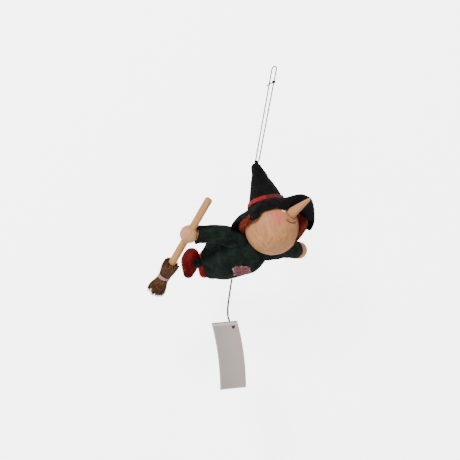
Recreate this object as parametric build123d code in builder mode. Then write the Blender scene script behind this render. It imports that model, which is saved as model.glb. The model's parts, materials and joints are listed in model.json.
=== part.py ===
from build123d import *
import math
import os

os.makedirs("parts", exist_ok=True)

# A hanging felt witch that flies on a broomstick. Millimetres, +Z up, +X the way she flies, -Y her
# lit side. The origin is the inside top of the hanging loop, where a hook carries her.
# Right and left are the witch's own: her right hand, on the -X side, holds the broom.

# ---------------------------------------------------------------- driving dimensions
FELT = 1.5                                  # thickness of the hat and dress felt
GLUE = 0.05                                 # radial room in a glued socket
SOFT_GAP = 0.5                              # room between two soft pieces that move apart

HEAD_CENTRE = Vector(22, -17.5, -133)
HEAD_RADIUS = 22.5
HAT_AXIS = Vector(-0.39, 0.29, 0.874).normalized()
NOSE_AXIS = Vector(0.567, -0.515, 0.642).normalized()
NOSE_LENGTH = 22
NOSE_RADIUS = 4.4
NOSE_TIP_RADIUS = 1.3
NOSE_TAPER = 9                              # half angle of the nose near its tip, in degrees
NOSE_TENON_RADIUS = 2
NOSE_TENON_LENGTH = 6

HAT_FOOT = 20                               # height of the cone's foot above the head's centre
HAT_HEIGHT = 38.5
HAT_RADIUS = 15.5
HAT_TIP_RADIUS = 3.8
HAT_LEAN = 17                               # half angle of the cone near its tip, in degrees
HAT_PROFILE = [(13.2, 7), (10.6, 15), (7.3, 25)]    # cone radius at three heights above its foot
HAT_SKIRT = 4                               # how far the stuffing goes on below the cone's foot
BAND_HEIGHT = 4
BAND_THICKNESS = 0.6
BRIM_REACH = 34                             # brim radius to the sides
BRIM_DEPTH = 26                             # brim radius to the front and back
BRIM_DROP = 10.5                            # how far the brim's edge sags below its root
BRIM_BEND = 0.42                            # share of that drop reached halfway out
BRIM_LEAN = 0.6                             # how far the underside is set in at each bend

CORD_RADIUS = 0.5
LOOP_HALF_WIDTH = 1.9
CORD_STANDOFF = 2                           # from the hat's tip up to the strands
KNOT_RADIUS = 1.5
KNOT_TAIL_RADIUS = 0.45
KNOT_TAIL_END_RADIUS = 0.7

HEM_RADIUS = 15.8
DRESS_LENGTH = 55                           # from the hem to the neck
NECK_RADIUS = 5.4
DRESS_PROFILE = [(18.2, 14), (18.4, 29), (14.2, 43)]    # dress radius at distances from the hem
BASE_RECESS = 3                             # from the hem in to the felt base
WEIGHT_RECESS = 5.2                         # from the hem in to the steel disc
WEIGHT_RADIUS = 14
WEIGHT_THICKNESS = 4.2
DRESS_TO_HEAD = 0.2
NECK_AXIS = Vector(-0.427, 0.48, -0.765).normalized()
NECK_DOWEL_RADIUS = 4
NECK_SOCKET_DEPTH = 10
NECK_DOWEL_LENGTH = 26

SLEEVE_SHOULDER_RADIUS = 7.6
SLEEVE_CUFF_RADIUS = 7
ARM_TURN = 35                               # how far the broom arm turns forward, in degrees
ELBOW_REACH = 9                             # from the shoulder to the inner end of the forearm
FOREARM_RADIUS = 4.3
HAND_RADIUS = 7.5
HAND_SOCKET_DEPTH = 3
WIRE_RADIUS = 0.8

STICK_RADIUS = 3.15
STICK_ABOVE_HAND = 37
STICK_BELOW_HAND = 52
BROOM_TOP = -31.5                           # along the stick from the hand's centre, up is positive
BROOM_TIE = -46.5
BROOM_END = -62.5

LEG_RADIUS = 3.4
SHOE_RADIUS = 8.2
SHOE_HEEL = 11.2                            # from the shoe's widest ring up to its heel
SHOE_TOE = 15                               # from the same ring down to its toe
SHOE_HEEL_RADIUS = 6.6                      # roundness of the heel's end
SHOE_TOE_RADIUS = 4.6                       # roundness of the toe's end
SHOE_SOCKET_DEPTH = 4

PATCH = 0.6
FRONT_PATCH = (13, 9.5, 20)                 # width, height and turn in degrees
BACK_PATCH = (12, 10, 30)

TAG_CORD_RADIUS = 0.75
TAG_WIDTH = 22.5
TAG_LENGTH = 56
TAG_BOW = 6                                 # how far the bowed card stands off its chord
CARD = 0.4
FOLD_GAP = 0.5                              # room between the two leaves
TAG_HOLE_RADIUS = 1.7
TAG_KNOT_RADIUS = 1.25
TAG_HOLE_ACROSS = 18                        # from the card's left edge
TAG_HOLE_DOWN = 5                           # from the card's fold
TAG_HOLE_BOW = 1.7                          # how far the bow brings the card forward at the hole


# ---------------------------------------------------------------- helpers
def turning_plane(origin, direction):
    """Plane whose local Y runs along a turning axis, for the outlines of turned pieces."""
    across = Vector(0, 1, 0).cross(direction).normalized()
    return Plane(origin=origin, x_dir=across, z_dir=across.cross(direction))


def rod(start, end, radius, mode=Mode.ADD):
    """Round rod from start to end, in the current part."""
    start, end = Vector(start), Vector(end)
    with BuildSketch(Plane(origin=start, z_dir=end - start)) as section:
        Circle(radius)
    extrude(section.sketch, amount=(end - start).length, mode=mode)


def ball(centre, radius, mode=Mode.ADD):
    """Sphere at a point, in the current part."""
    with Locations(Location(Vector(centre))):
        Sphere(radius, mode=mode)


def taper(start, end, start_radius, end_radius, mode=Mode.ADD):
    """Round tapered tube of felt or its bore, in the current part."""
    start, end = Vector(start), Vector(end)
    with BuildSketch(Plane(origin=start, z_dir=end - start)) as first:
        Circle(start_radius)
    with BuildSketch(Plane(origin=end, z_dir=end - start)) as last:
        Circle(end_radius)
    loft([first.sketch, last.sketch], mode=mode)


# ---------------------------------------------------------------- head and nose
head_plane = turning_plane(HEAD_CENTRE, HAT_AXIS)
hat_line = Axis(HEAD_CENTRE, HAT_AXIS)
nose_root = HEAD_CENTRE + NOSE_AXIS * (HEAD_RADIUS - NOSE_TENON_LENGTH)
nose_end = HEAD_CENTRE + NOSE_AXIS * (HEAD_RADIUS + NOSE_LENGTH)
neck_root = HEAD_CENTRE + NECK_AXIS * (HEAD_RADIUS - NECK_SOCKET_DEPTH)
neck_end = neck_root + NECK_AXIS * NECK_DOWEL_LENGTH

with BuildPart() as head_ball:
    ball(HEAD_CENTRE, HEAD_RADIUS)
    rod(nose_root, nose_end, NOSE_TENON_RADIUS + GLUE, mode=Mode.SUBTRACT)
    rod(neck_root, neck_end, NECK_DOWEL_RADIUS + GLUE, mode=Mode.SUBTRACT)
head_ball.part.label = "head_ball"
export_step(head_ball.part, "parts/head_ball.step")

with BuildPart() as nose:
    with BuildSketch(turning_plane(HEAD_CENTRE, NOSE_AXIS)):
        foot = HEAD_RADIUS - 1.2
        middle = (NOSE_RADIUS * 0.68, foot + NOSE_LENGTH * 0.5)
        with BuildLine():
            tip_centre = (0, HEAD_RADIUS + NOSE_LENGTH - NOSE_TIP_RADIUS)
            tip_arc = CenterArc(tip_centre, NOSE_TIP_RADIUS, NOSE_TAPER, 90 - NOSE_TAPER)
            Polyline(tip_arc @ 1, (0, foot), (NOSE_RADIUS - 0.5, foot), (NOSE_RADIUS, foot + 1.4))
            Spline((NOSE_RADIUS, foot + 1.4), middle, tip_arc @ 0)
        make_face()
    revolve(axis=Axis(HEAD_CENTRE, NOSE_AXIS))
    ball(HEAD_CENTRE, HEAD_RADIUS, mode=Mode.SUBTRACT)
    rod(nose_root + NOSE_AXIS * 0.3, HEAD_CENTRE + NOSE_AXIS * (HEAD_RADIUS + 1), NOSE_TENON_RADIUS)
nose.part.label = "nose"
export_step(nose.part, "parts/nose.step")


# ---------------------------------------------------------------- hair
hat_across = Vector(0, 1, 0).cross(HAT_AXIS).normalized()
hat_back = HAT_AXIS.cross(hat_across)


def hair_tuft(points, start_angle, sweep_angle):
    """Tuft of hair round part of the head: an outline in radius and height, turned about the hat axis."""
    turn = math.radians(start_angle)
    across = hat_across * math.cos(turn) + hat_back * math.sin(turn)
    with BuildSketch(Plane(origin=HEAD_CENTRE, x_dir=across, z_dir=across.cross(HAT_AXIS))) as half:
        Polygon(*points, align=None)
    revolve(half.sketch, axis=hat_line, revolution_arc=sweep_angle)
    ball(HEAD_CENTRE, HEAD_RADIUS + GLUE, mode=Mode.SUBTRACT)


with BuildPart() as right_hair:
    hair_tuft([(18, 12), (25, 11.5), (28, 9), (27, 5.5), (21, 4)], 168, 67)
right_hair.part.label = "right_hair"
export_step(right_hair.part, "parts/right_hair.step")

with BuildPart() as left_hair:
    hair_tuft([(18, 8), (25, 7), (29, -5), (26, -13), (15, -18), (12, -16)], -8, 58)
left_hair.part.label = "left_hair"
export_step(left_hair.part, "parts/left_hair.step")

with BuildPart() as back_hair:
    hair_tuft([(18, 12), (25, 11.5), (27, 8), (25, 5.5), (21, 5)], 55, 110)
back_hair.part.label = "back_hair"
export_step(back_hair.part, "parts/back_hair.step")


# ---------------------------------------------------------------- hat
def cone_outline(inset):
    """Half of the hat cone's outline, moved in by inset, from its foot up to its rounded tip."""
    tip_centre = HAT_FOOT + HAT_HEIGHT - HAT_TIP_RADIUS
    tip_radius = HAT_TIP_RADIUS - inset
    with BuildLine() as edge:
        tip_arc = CenterArc((0, tip_centre), tip_radius, HAT_LEAN, 90 - HAT_LEAN)
        Polyline(
            tip_arc @ 1, (0, HAT_FOOT), (HAT_RADIUS - inset, HAT_FOOT),
            *[(radius - inset, HAT_FOOT + height) for radius, height in HAT_PROFILE], tip_arc @ 0,
        )
    make_face(edge.edges())


with BuildPart() as hat_cone:
    with BuildSketch(head_plane):
        cone_outline(0)
    revolve(axis=hat_line)
    with BuildSketch(head_plane):
        cone_outline(FELT)
    revolve(axis=hat_line, mode=Mode.SUBTRACT)
hat_cone.part.label = "hat_cone"
export_step(hat_cone.part, "parts/hat_cone.step")

with BuildPart() as hat_stuffing:
    with BuildSketch(head_plane):
        cone_outline(FELT)
        with Locations((0, HAT_FOOT)):
            Rectangle(HAT_RADIUS - FELT, HAT_SKIRT, align=(Align.MIN, Align.MAX))
    revolve(axis=hat_line)
    ball(HEAD_CENTRE, HEAD_RADIUS + GLUE, mode=Mode.SUBTRACT)
hat_stuffing.part.label = "hat_stuffing"
export_step(hat_stuffing.part, "parts/hat_stuffing.step")

with BuildPart() as hat_brim:
    with BuildSketch(head_plane):
        root = HAT_RADIUS - FELT + GLUE
        middle = (root + BRIM_REACH) / 2
        bend = HAT_FOOT - BRIM_DROP * BRIM_BEND
        edge = HAT_FOOT - BRIM_DROP
        Polygon(
            (root, HAT_FOOT), (middle, bend), (BRIM_REACH, edge), (BRIM_REACH - BRIM_LEAN, edge - FELT),
            (middle - BRIM_LEAN, bend - FELT), (root, HAT_FOOT - FELT), align=None,
        )
    revolve(axis=hat_line)
    with BuildSketch(Plane(origin=HEAD_CENTRE, x_dir=hat_across, z_dir=HAT_AXIS)):
        Ellipse(BRIM_REACH, BRIM_DEPTH)
    extrude(amount=HAT_FOOT + 2, mode=Mode.INTERSECT)
hat_brim.part.label = "hat_brim"
export_step(hat_brim.part, "parts/hat_brim.step")

with BuildPart() as hat_band:
    with BuildSketch(head_plane):
        first_radius, first_height = HAT_PROFILE[0]
        upper = HAT_RADIUS - (HAT_RADIUS - first_radius) * BAND_HEIGHT / first_height
        Polygon(
            (HAT_RADIUS, HAT_FOOT), (upper, HAT_FOOT + BAND_HEIGHT),
            (upper + BAND_THICKNESS, HAT_FOOT + BAND_HEIGHT), (HAT_RADIUS + BAND_THICKNESS, HAT_FOOT),
            align=None,
        )
    revolve(axis=hat_line)
hat_band.part.label = "hat_band"
export_step(hat_band.part, "parts/hat_band.step")

# ---------------------------------------------------------------- hanging cord
hat_tip = HEAD_CENTRE + HAT_AXIS * (HAT_FOOT + HAT_HEIGHT)
strand_foot = hat_tip.Z + CORD_STANDOFF
knot_middle = Vector(1.6, 0, -12.5)
tail_bend = Vector(-1.8, -1.5, -15.1)
tail_end = Vector(-3.9, -1.3, -17.1)
cord_route = [
    (-1.4, 0, strand_foot - 0.2), (-LOOP_HALF_WIDTH, 0, CORD_RADIUS), (LOOP_HALF_WIDTH, 0, CORD_RADIUS),
    knot_middle, (1.3, 0, strand_foot - 0.4),
]


def corner_radii(route):
    """Largest arc that fits each corner: 0.45 of the shorter run over the tangent of half the turn."""
    points = [Vector(p) for p in route]
    radii = []
    for before, corner, after in zip(points, points[1:], points[2:]):
        turn = math.radians((corner - before).get_angle(after - corner))
        shorter = min((corner - before).length, (after - corner).length)
        radii.append(0.45 * shorter / math.tan(turn / 2))
    return radii


def round_cord(route, radius, name):
    """Round cord along straight runs and tangent arcs, in the current part."""
    radii = corner_radii(route)
    with BuildLine() as path:
        FilletPolyline(*route, radius=radii)
    with BuildSketch(Plane(origin=route[0], z_dir=path.line % 0)) as section:
        Circle(radius)
    sweep(section.sketch, path=path.line)
    length = sum(edge.length for edge in path.edges())
    print(name, "length", round(length, 1), "radii", [round(r, 1) for r in radii])
    return math.pi * radius ** 2 * length


with BuildPart() as hanging_cord:
    expected = round_cord(cord_route, CORD_RADIUS, "hanging cord")
print("hanging cord volume", round(hanging_cord.part.volume, 2), "expected", round(expected, 2))
hanging_cord.part.label = "hanging_cord"
export_step(hanging_cord.part, "parts/hanging_cord.step")

with BuildPart() as cord_knot:
    ball(knot_middle, KNOT_RADIUS)
    rod(knot_middle - Vector(0, 0.6, 0), tail_bend, KNOT_TAIL_RADIUS)
    ball(tail_bend, KNOT_TAIL_RADIUS)
    rod(tail_bend, tail_end, KNOT_TAIL_RADIUS)
    ball(tail_end, KNOT_TAIL_END_RADIUS)
    strand_reach = Vector(0, 0, 2 * KNOT_RADIUS)
    rod(knot_middle - strand_reach, knot_middle + strand_reach, CORD_RADIUS + GLUE, mode=Mode.SUBTRACT)
cord_knot.part.label = "cord_knot"
export_step(cord_knot.part, "parts/cord_knot.step")

# ---------------------------------------------------------------- dress and what it holds
hem_centre = Vector(-24, 15, -169.5)
dress_facing = Vector(0.828, -0.45, 0.335).normalized()
dress_line = Axis(hem_centre, dress_facing)
dress_plane = turning_plane(hem_centre, dress_facing)

right_shoulder = Vector(-3, -9, -148.5)
right_cuff = Vector(-36, -18.5, -149.6)
right_hand_centre = Vector(-44.6, -20.8, -150.6)
left_shoulder = Vector(23, 8, -152)
left_cuff = Vector(45.5, 36, -148)
left_hand_centre = Vector(50, 42, -147.5)
right_hip = hem_centre + Vector(-2, -7, -1.5)
left_hip = hem_centre + Vector(5, 7, 0)
right_shoe_centre = Vector(-40, 16, -173)
left_shoe_centre = Vector(-27, 33, -171)
arms = {
    "right": (right_shoulder, right_cuff, right_hand_centre),
    "left": (left_shoulder, left_cuff, left_hand_centre),
}
legs = {"right": (right_hip, right_shoe_centre), "left": (left_hip, left_shoe_centre)}
sleeve_places = [(right_shoulder, right_cuff), (left_shoulder, left_cuff)] + [
    (right_shoulder, right_shoulder + (right_cuff - right_shoulder).rotate(Axis.Z, turn))
    for turn in (ARM_TURN / 2, ARM_TURN)
]


def dress_outline(inset):
    """Half of the dress's pear outline, moved in by inset, from the hem up to the neck."""
    with BuildLine() as edge:
        side = Spline(
            (HEM_RADIUS - inset, 0), *[(radius - inset, length) for radius, length in DRESS_PROFILE],
            (NECK_RADIUS - inset, DRESS_LENGTH),
        )
        Polyline(side @ 1, (0, DRESS_LENGTH), (0, 0), side @ 0)
    make_face(edge.edges())


def body_rooms():
    """Hollows in the dress where the head, the sleeves and the legs lie."""
    ball(HEAD_CENTRE, HEAD_RADIUS + DRESS_TO_HEAD, mode=Mode.SUBTRACT)
    for shoulder in (right_shoulder, left_shoulder):
        ball(shoulder, SLEEVE_SHOULDER_RADIUS + SOFT_GAP, mode=Mode.SUBTRACT)
    for shoulder, cuff in sleeve_places:
        rod(shoulder, cuff, SLEEVE_SHOULDER_RADIUS + SOFT_GAP, mode=Mode.SUBTRACT)
    for hip in (right_hip, left_hip):
        ball(hip, LEG_RADIUS + SOFT_GAP, mode=Mode.SUBTRACT)


with BuildPart() as dress:
    with BuildSketch(dress_plane):
        dress_outline(0)
    revolve(axis=dress_line)
    with BuildSketch(dress_plane):
        dress_outline(FELT)
    revolve(axis=dress_line, mode=Mode.SUBTRACT)
    body_rooms()
dress.part.label = "dress"
export_step(dress.part, "parts/dress.step")

with BuildPart() as dress_base:
    with BuildSketch(Plane(origin=hem_centre + dress_facing * BASE_RECESS, z_dir=dress_facing)):
        Circle(HEM_RADIUS - FELT)
    extrude(amount=FELT)
    for hip, shoe in legs.values():
        rod(hip + (hip - shoe), shoe, LEG_RADIUS + SOFT_GAP, mode=Mode.SUBTRACT)
dress_base.part.label = "dress_base"
export_step(dress_base.part, "parts/dress_base.step")

with BuildPart() as hem_weight:
    weight_foot = hem_centre + dress_facing * WEIGHT_RECESS
    rod(weight_foot, weight_foot + dress_facing * WEIGHT_THICKNESS, WEIGHT_RADIUS)
hem_weight.part.label = "hem_weight"
export_step(hem_weight.part, "parts/hem_weight.step")

armature_middle = Vector(9, 8, -160)
armature_room = SLEEVE_SHOULDER_RADIUS + 2 * SOFT_GAP
armature_ends = [
    shoulder + (armature_middle - shoulder).normalized() * armature_room
    for shoulder in (right_shoulder, left_shoulder)
]

with BuildPart() as armature:
    for end in armature_ends:
        rod(end, armature_middle, WIRE_RADIUS)
    ball(armature_middle, WIRE_RADIUS)
armature.part.label = "armature"
export_step(armature.part, "parts/armature.step")

with BuildPart() as stuffing:
    with BuildSketch(dress_plane):
        dress_outline(FELT + GLUE)
        Rectangle(
            2 * HEM_RADIUS, WEIGHT_RECESS + WEIGHT_THICKNESS + GLUE, align=Align.MIN, mode=Mode.SUBTRACT,
        )
    revolve(axis=dress_line)
    body_rooms()
    rod(neck_root, neck_end, NECK_DOWEL_RADIUS + GLUE, mode=Mode.SUBTRACT)
    for end in armature_ends:
        rod(end, armature_middle, WIRE_RADIUS, mode=Mode.SUBTRACT)
    ball(armature_middle, WIRE_RADIUS, mode=Mode.SUBTRACT)
stuffing.part.label = "stuffing"
export_step(stuffing.part, "parts/stuffing.step")

with BuildPart() as neck_dowel:
    rod(neck_root + NECK_AXIS * 0.3, neck_end, NECK_DOWEL_RADIUS)
neck_dowel.part.label = "neck_dowel"
export_step(neck_dowel.part, "parts/neck_dowel.step")

# ---------------------------------------------------------------- patches
patch_centre = Vector(3.5, -13, -173)
patch_facing = Vector(0.15, -0.75, -0.64)
back_patch_centre = Vector(-20, 20, -152)
back_patch_facing = Vector(-0.3, 0.25, 0.92)


def patch(centre, facing, width, height, turn):
    """Scrap of cloth laid on the dress: a thin skin of it inside an oblong prism."""
    with BuildSketch(dress_plane) as outer:
        dress_outline(-PATCH)
    revolve(outer.sketch, axis=dress_line)
    with BuildSketch(dress_plane) as inner:
        dress_outline(0)
    revolve(inner.sketch, axis=dress_line, mode=Mode.SUBTRACT)
    with BuildSketch(Plane(origin=centre, z_dir=facing)) as prism:
        Rectangle(width, height, rotation=turn)
    extrude(prism.sketch, amount=10, both=True, mode=Mode.INTERSECT)


with BuildPart() as front_patch:
    patch(patch_centre, patch_facing, *FRONT_PATCH)
front_patch.part.label = "front_patch"
export_step(front_patch.part, "parts/front_patch.step")

with BuildPart() as back_patch:
    patch(back_patch_centre, back_patch_facing, *BACK_PATCH)
back_patch.part.label = "back_patch"
export_step(back_patch.part, "parts/back_patch.step")


# ---------------------------------------------------------------- arms
stick_line = Vector(0.311, -0.454, 0.835).normalized()
stick_top = right_hand_centre + stick_line * STICK_ABOVE_HAND
stick_foot = right_hand_centre - stick_line * STICK_BELOW_HAND

for side, (shoulder, cuff, hand_centre) in arms.items():
    reach = (hand_centre - shoulder).normalized()
    wrist = hand_centre - reach * (HAND_RADIUS - HAND_SOCKET_DEPTH)
    elbow = shoulder + reach * ELBOW_REACH

    with BuildPart() as sleeve:
        taper(shoulder, cuff, SLEEVE_SHOULDER_RADIUS, SLEEVE_CUFF_RADIUS)
        ball(shoulder, SLEEVE_SHOULDER_RADIUS)
        rod(elbow, hand_centre, FOREARM_RADIUS + GLUE, mode=Mode.SUBTRACT)
        rod(shoulder, elbow, WIRE_RADIUS, mode=Mode.SUBTRACT)
    sleeve.part.label = f"{side}_sleeve"
    export_step(sleeve.part, f"parts/{side}_sleeve.step")

    with BuildPart() as forearm:
        rod(elbow, wrist, FOREARM_RADIUS)
    forearm.part.label = f"{side}_forearm"
    export_step(forearm.part, f"parts/{side}_forearm.step")

    with BuildPart() as arm_wire:
        rod(shoulder, elbow, WIRE_RADIUS)
    arm_wire.part.label = f"{side}_arm_wire"
    export_step(arm_wire.part, f"parts/{side}_arm_wire.step")

    with BuildPart() as hand:
        ball(hand_centre, HAND_RADIUS)
        rod(wrist, shoulder, FOREARM_RADIUS + GLUE, mode=Mode.SUBTRACT)
        if side == "right":
            rod(stick_foot, stick_top, STICK_RADIUS + GLUE, mode=Mode.SUBTRACT)
    hand.part.label = f"{side}_hand"
    export_step(hand.part, f"parts/{side}_hand.step")

# ---------------------------------------------------------------- broom
with BuildPart() as broomstick:
    rod(stick_foot, stick_top, STICK_RADIUS)
    chamfer(broomstick.edges().filter_by(GeomType.CIRCLE), 0.4)
broomstick.part.label = "broomstick"
export_step(broomstick.part, "parts/broomstick.step")

with BuildPart() as bristles:
    with BuildSketch(turning_plane(right_hand_centre, stick_line)):
        Polygon(
            (0, BROOM_END), (6, BROOM_END), (5.2, BROOM_TIE - 5), (4.2, BROOM_TIE), (6.4, BROOM_TOP - 3),
            (5.6, BROOM_TOP), (0, BROOM_TOP), align=None,
        )
    revolve(axis=Axis(right_hand_centre, stick_line))
    rod(stick_foot, stick_top, STICK_RADIUS, mode=Mode.SUBTRACT)
bristles.part.label = "bristles"
export_step(bristles.part, "parts/bristles.step")

with BuildPart() as binding:
    with BuildSketch(turning_plane(right_hand_centre, stick_line)):
        Polygon(
            (5.2, BROOM_TIE - 1.6), (5.2, BROOM_TIE + 1.4), (4.95, BROOM_TIE + 1.4), (4.2, BROOM_TIE),
            (4.55, BROOM_TIE - 1.6), align=None,
        )
    revolve(axis=Axis(right_hand_centre, stick_line))
binding.part.label = "binding"
export_step(binding.part, "parts/binding.step")

# ---------------------------------------------------------------- legs and shoes
for side, (hip, shoe_centre) in legs.items():
    step = (shoe_centre - hip).normalized()
    ankle = shoe_centre - step * (SHOE_RADIUS - SHOE_SOCKET_DEPTH)

    with BuildPart() as leg:
        ball(hip, LEG_RADIUS)
        rod(hip, ankle, LEG_RADIUS)
    leg.part.label = f"{side}_leg"
    export_step(leg.part, f"parts/{side}_leg.step")

    with BuildPart() as shoe:
        with BuildSketch(Plane(origin=shoe_centre, x_dir=(1, 0, 0), z_dir=(0, -1, 0))):
            with BuildLine():
                toe = CenterArc((0, SHOE_TOE_RADIUS - SHOE_TOE), SHOE_TOE_RADIUS, -90, 70)
                heel = CenterArc((0, SHOE_HEEL - SHOE_HEEL_RADIUS), SHOE_HEEL_RADIUS, 30, 60)
                Spline(toe @ 1, (SHOE_RADIUS, 0), heel @ 0, tangents=(toe % 1, heel % 0))
                Line(heel @ 1, toe @ 0)
            make_face()
        revolve(axis=Axis(shoe_centre, (0, 0, 1)))
        rod(hip, ankle, LEG_RADIUS + GLUE, mode=Mode.SUBTRACT)
    shoe.part.label = f"{side}_shoe"
    export_step(shoe.part, f"parts/{side}_shoe.step")

# ---------------------------------------------------------------- tag and its cord
tag_corner = Vector(-12.8, 0.5, -221)       # upper left corner of the card
tag_down = Vector(0.305, -0.2, -0.93).normalized()
tag_slant = Vector(0.93, 0.3, 0.2)
tag_across = (tag_slant - tag_down * tag_slant.dot(tag_down)).normalized()
tag_back = tag_across.cross(tag_down)
tag_plane = Plane(origin=tag_corner, x_dir=tag_down, z_dir=tag_across)
tag_hole = tag_corner + tag_across * TAG_HOLE_ACROSS + tag_down * TAG_HOLE_DOWN - tag_back * TAG_HOLE_BOW
knot_centre = tag_hole + tag_back * 0.4
tag_cord_route = [
    (-2.9, 4, -181.4), (-2.4, 5, -198), (-1.4, 7.2, -211), (1.6, 9, -217),
    knot_centre + tag_back * 4 + Vector(-0.5, 0, 1), knot_centre + tag_back * 0.6,
]


def leaf(start, front, back):
    """Bowed leaf of the card: an arc from start down to the foot, between two depths, across its width."""
    with BuildSketch(tag_plane) as section:
        with BuildLine() as edge:
            near = ThreePointArc((start, front), (TAG_LENGTH / 2, front - TAG_BOW), (TAG_LENGTH, front))
            far = ThreePointArc((start, back), (TAG_LENGTH / 2, back - TAG_BOW), (TAG_LENGTH, back))
            Line(near @ 0, far @ 0)
            Line(near @ 1, far @ 1)
        make_face(edge.edges())
    extrude(section.sketch, amount=TAG_WIDTH)
    rod(tag_hole - tag_back * 5, tag_hole + tag_back * 5, TAG_HOLE_RADIUS, mode=Mode.SUBTRACT)


with BuildPart() as tag_back_leaf:
    leaf(0, 0, CARD)
    with BuildSketch(tag_plane):
        with Locations((0, -CARD - FOLD_GAP)):
            Rectangle(CARD, 2 * CARD + FOLD_GAP, align=(Align.MAX, Align.MIN))
    extrude(amount=TAG_WIDTH)
tag_back_leaf.part.label = "tag_back_leaf"
export_step(tag_back_leaf.part, "parts/tag_back_leaf.step")

with BuildPart() as tag_front_leaf:
    leaf(FOLD_GAP, -CARD - FOLD_GAP, -FOLD_GAP)
tag_front_leaf.part.label = "tag_front_leaf"
export_step(tag_front_leaf.part, "parts/tag_front_leaf.step")

with BuildPart() as tag_cord:
    expected = round_cord(tag_cord_route, TAG_CORD_RADIUS, "tag cord")
print("tag cord volume", round(tag_cord.part.volume, 2), "expected", round(expected, 2))
tag_cord.part.label = "tag_cord"
export_step(tag_cord.part, "parts/tag_cord.step")

with BuildPart() as tag_knot:
    ball(knot_centre, TAG_KNOT_RADIUS)
    rod(knot_centre + tag_back * 0.6, tag_cord_route[-2], TAG_CORD_RADIUS + GLUE, mode=Mode.SUBTRACT)
tag_knot.part.label = "tag_knot"
export_step(tag_knot.part, "parts/tag_knot.step")
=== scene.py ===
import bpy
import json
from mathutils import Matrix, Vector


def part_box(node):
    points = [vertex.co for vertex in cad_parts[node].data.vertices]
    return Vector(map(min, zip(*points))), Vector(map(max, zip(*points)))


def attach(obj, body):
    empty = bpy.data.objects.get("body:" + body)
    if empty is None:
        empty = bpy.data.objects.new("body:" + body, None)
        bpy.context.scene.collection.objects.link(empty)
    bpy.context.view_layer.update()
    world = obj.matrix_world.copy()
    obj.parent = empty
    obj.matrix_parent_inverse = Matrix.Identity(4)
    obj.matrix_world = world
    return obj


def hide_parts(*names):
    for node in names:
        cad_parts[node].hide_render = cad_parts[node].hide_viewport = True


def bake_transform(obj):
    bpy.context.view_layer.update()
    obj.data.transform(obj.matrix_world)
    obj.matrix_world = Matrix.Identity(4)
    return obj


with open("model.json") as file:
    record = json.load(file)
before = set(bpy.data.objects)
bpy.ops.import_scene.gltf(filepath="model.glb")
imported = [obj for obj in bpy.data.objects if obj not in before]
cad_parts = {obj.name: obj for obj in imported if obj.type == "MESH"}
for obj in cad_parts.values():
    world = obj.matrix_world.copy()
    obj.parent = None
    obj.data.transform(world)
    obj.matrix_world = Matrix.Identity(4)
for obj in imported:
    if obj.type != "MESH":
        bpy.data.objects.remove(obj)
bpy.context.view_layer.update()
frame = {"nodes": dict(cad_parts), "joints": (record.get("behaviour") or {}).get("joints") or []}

import json
import logging
import math
import random
from dataclasses import dataclass, field
from enum import Enum
from typing import Callable, Sequence

import bpy
from mathutils import Matrix, Vector, noise
from mathutils.bvhtree import BVHTree

logging.basicConfig(level=logging.INFO, format="%(message)s")
LOG = logging.getLogger("witch")

Piece = bpy.types.Object
Material = bpy.types.Material
Socket = bpy.types.NodeSocket
Colour = tuple[float, float, float, float]
Point = tuple[float, float, float]
MM_TO_M = 0.001


class Body(Enum):
    """Bodies of the frame that the pieces ride on."""

    CORD = "cord"
    FIGURE = "figure"
    RIGHT_ARM = "right_arm"
    LEFT_ARM = "left_arm"
    BROOM = "broom"
    RIGHT_FOOT = "right_foot"
    LEFT_FOOT = "left_foot"
    TAG_STRING = "tag_string"


class Side(Enum):
    """The witch's own two sides."""

    RIGHT = "right"
    LEFT = "left"


def joint_vector(name: str, key: str) -> Vector:
    """Return a joint's "pos_m" or "axis" from the frame."""
    return Vector(next(joint for joint in frame["joints"] if joint["name"] == name)[key])


def joint_point(name: str) -> Vector:
    """Return where a joint of the frame turns, in metres."""
    return joint_vector(name, "pos_m")


def joint_axis(name: str) -> Vector:
    """Return the unit axis of a joint of the frame."""
    return joint_vector(name, "axis").normalized()


def node_centre(name: str) -> Vector:
    """Return the middle of a CAD node's box."""
    low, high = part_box(name)
    return (low + high) / 2


def smooth_step(value: float) -> float:
    """Ease a value from 0 to 1, and hold it outside that range."""
    held = min(max(value, 0.0), 1.0)
    return held * held * (3 - 2 * held)


def outward_of(point: Vector) -> Vector:
    """Return the level direction from local Z out to a point."""
    return Vector((point.x, point.y, 0)).normalized()


def polar(turn: float, radius: float, height: float) -> Vector:
    """Return the point at a turn in radians, a radius and a height."""
    return Vector((radius * math.cos(turn), radius * math.sin(turn), height))


def axes_frame(origin: Vector, across: Vector, back: Vector, up: Vector) -> Matrix:
    """Return the frame with this origin and these unit X, Y and Z directions."""
    return Matrix.Translation(origin) @ Matrix((across, back, up)).transposed().to_4x4()


def along_frame(origin: Vector, upward: Vector) -> Matrix:
    """Make a local frame whose Z runs along a direction, with its X square to world Y.

    Args:
        origin: The local origin.
        upward: The direction of local Z.

    Returns:
        The matrix from local to row coordinates.
    """
    up = upward.normalized()
    across = Vector((0, 1, 0)).cross(up).normalized()
    return axes_frame(origin, across, up.cross(across), up)


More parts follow.
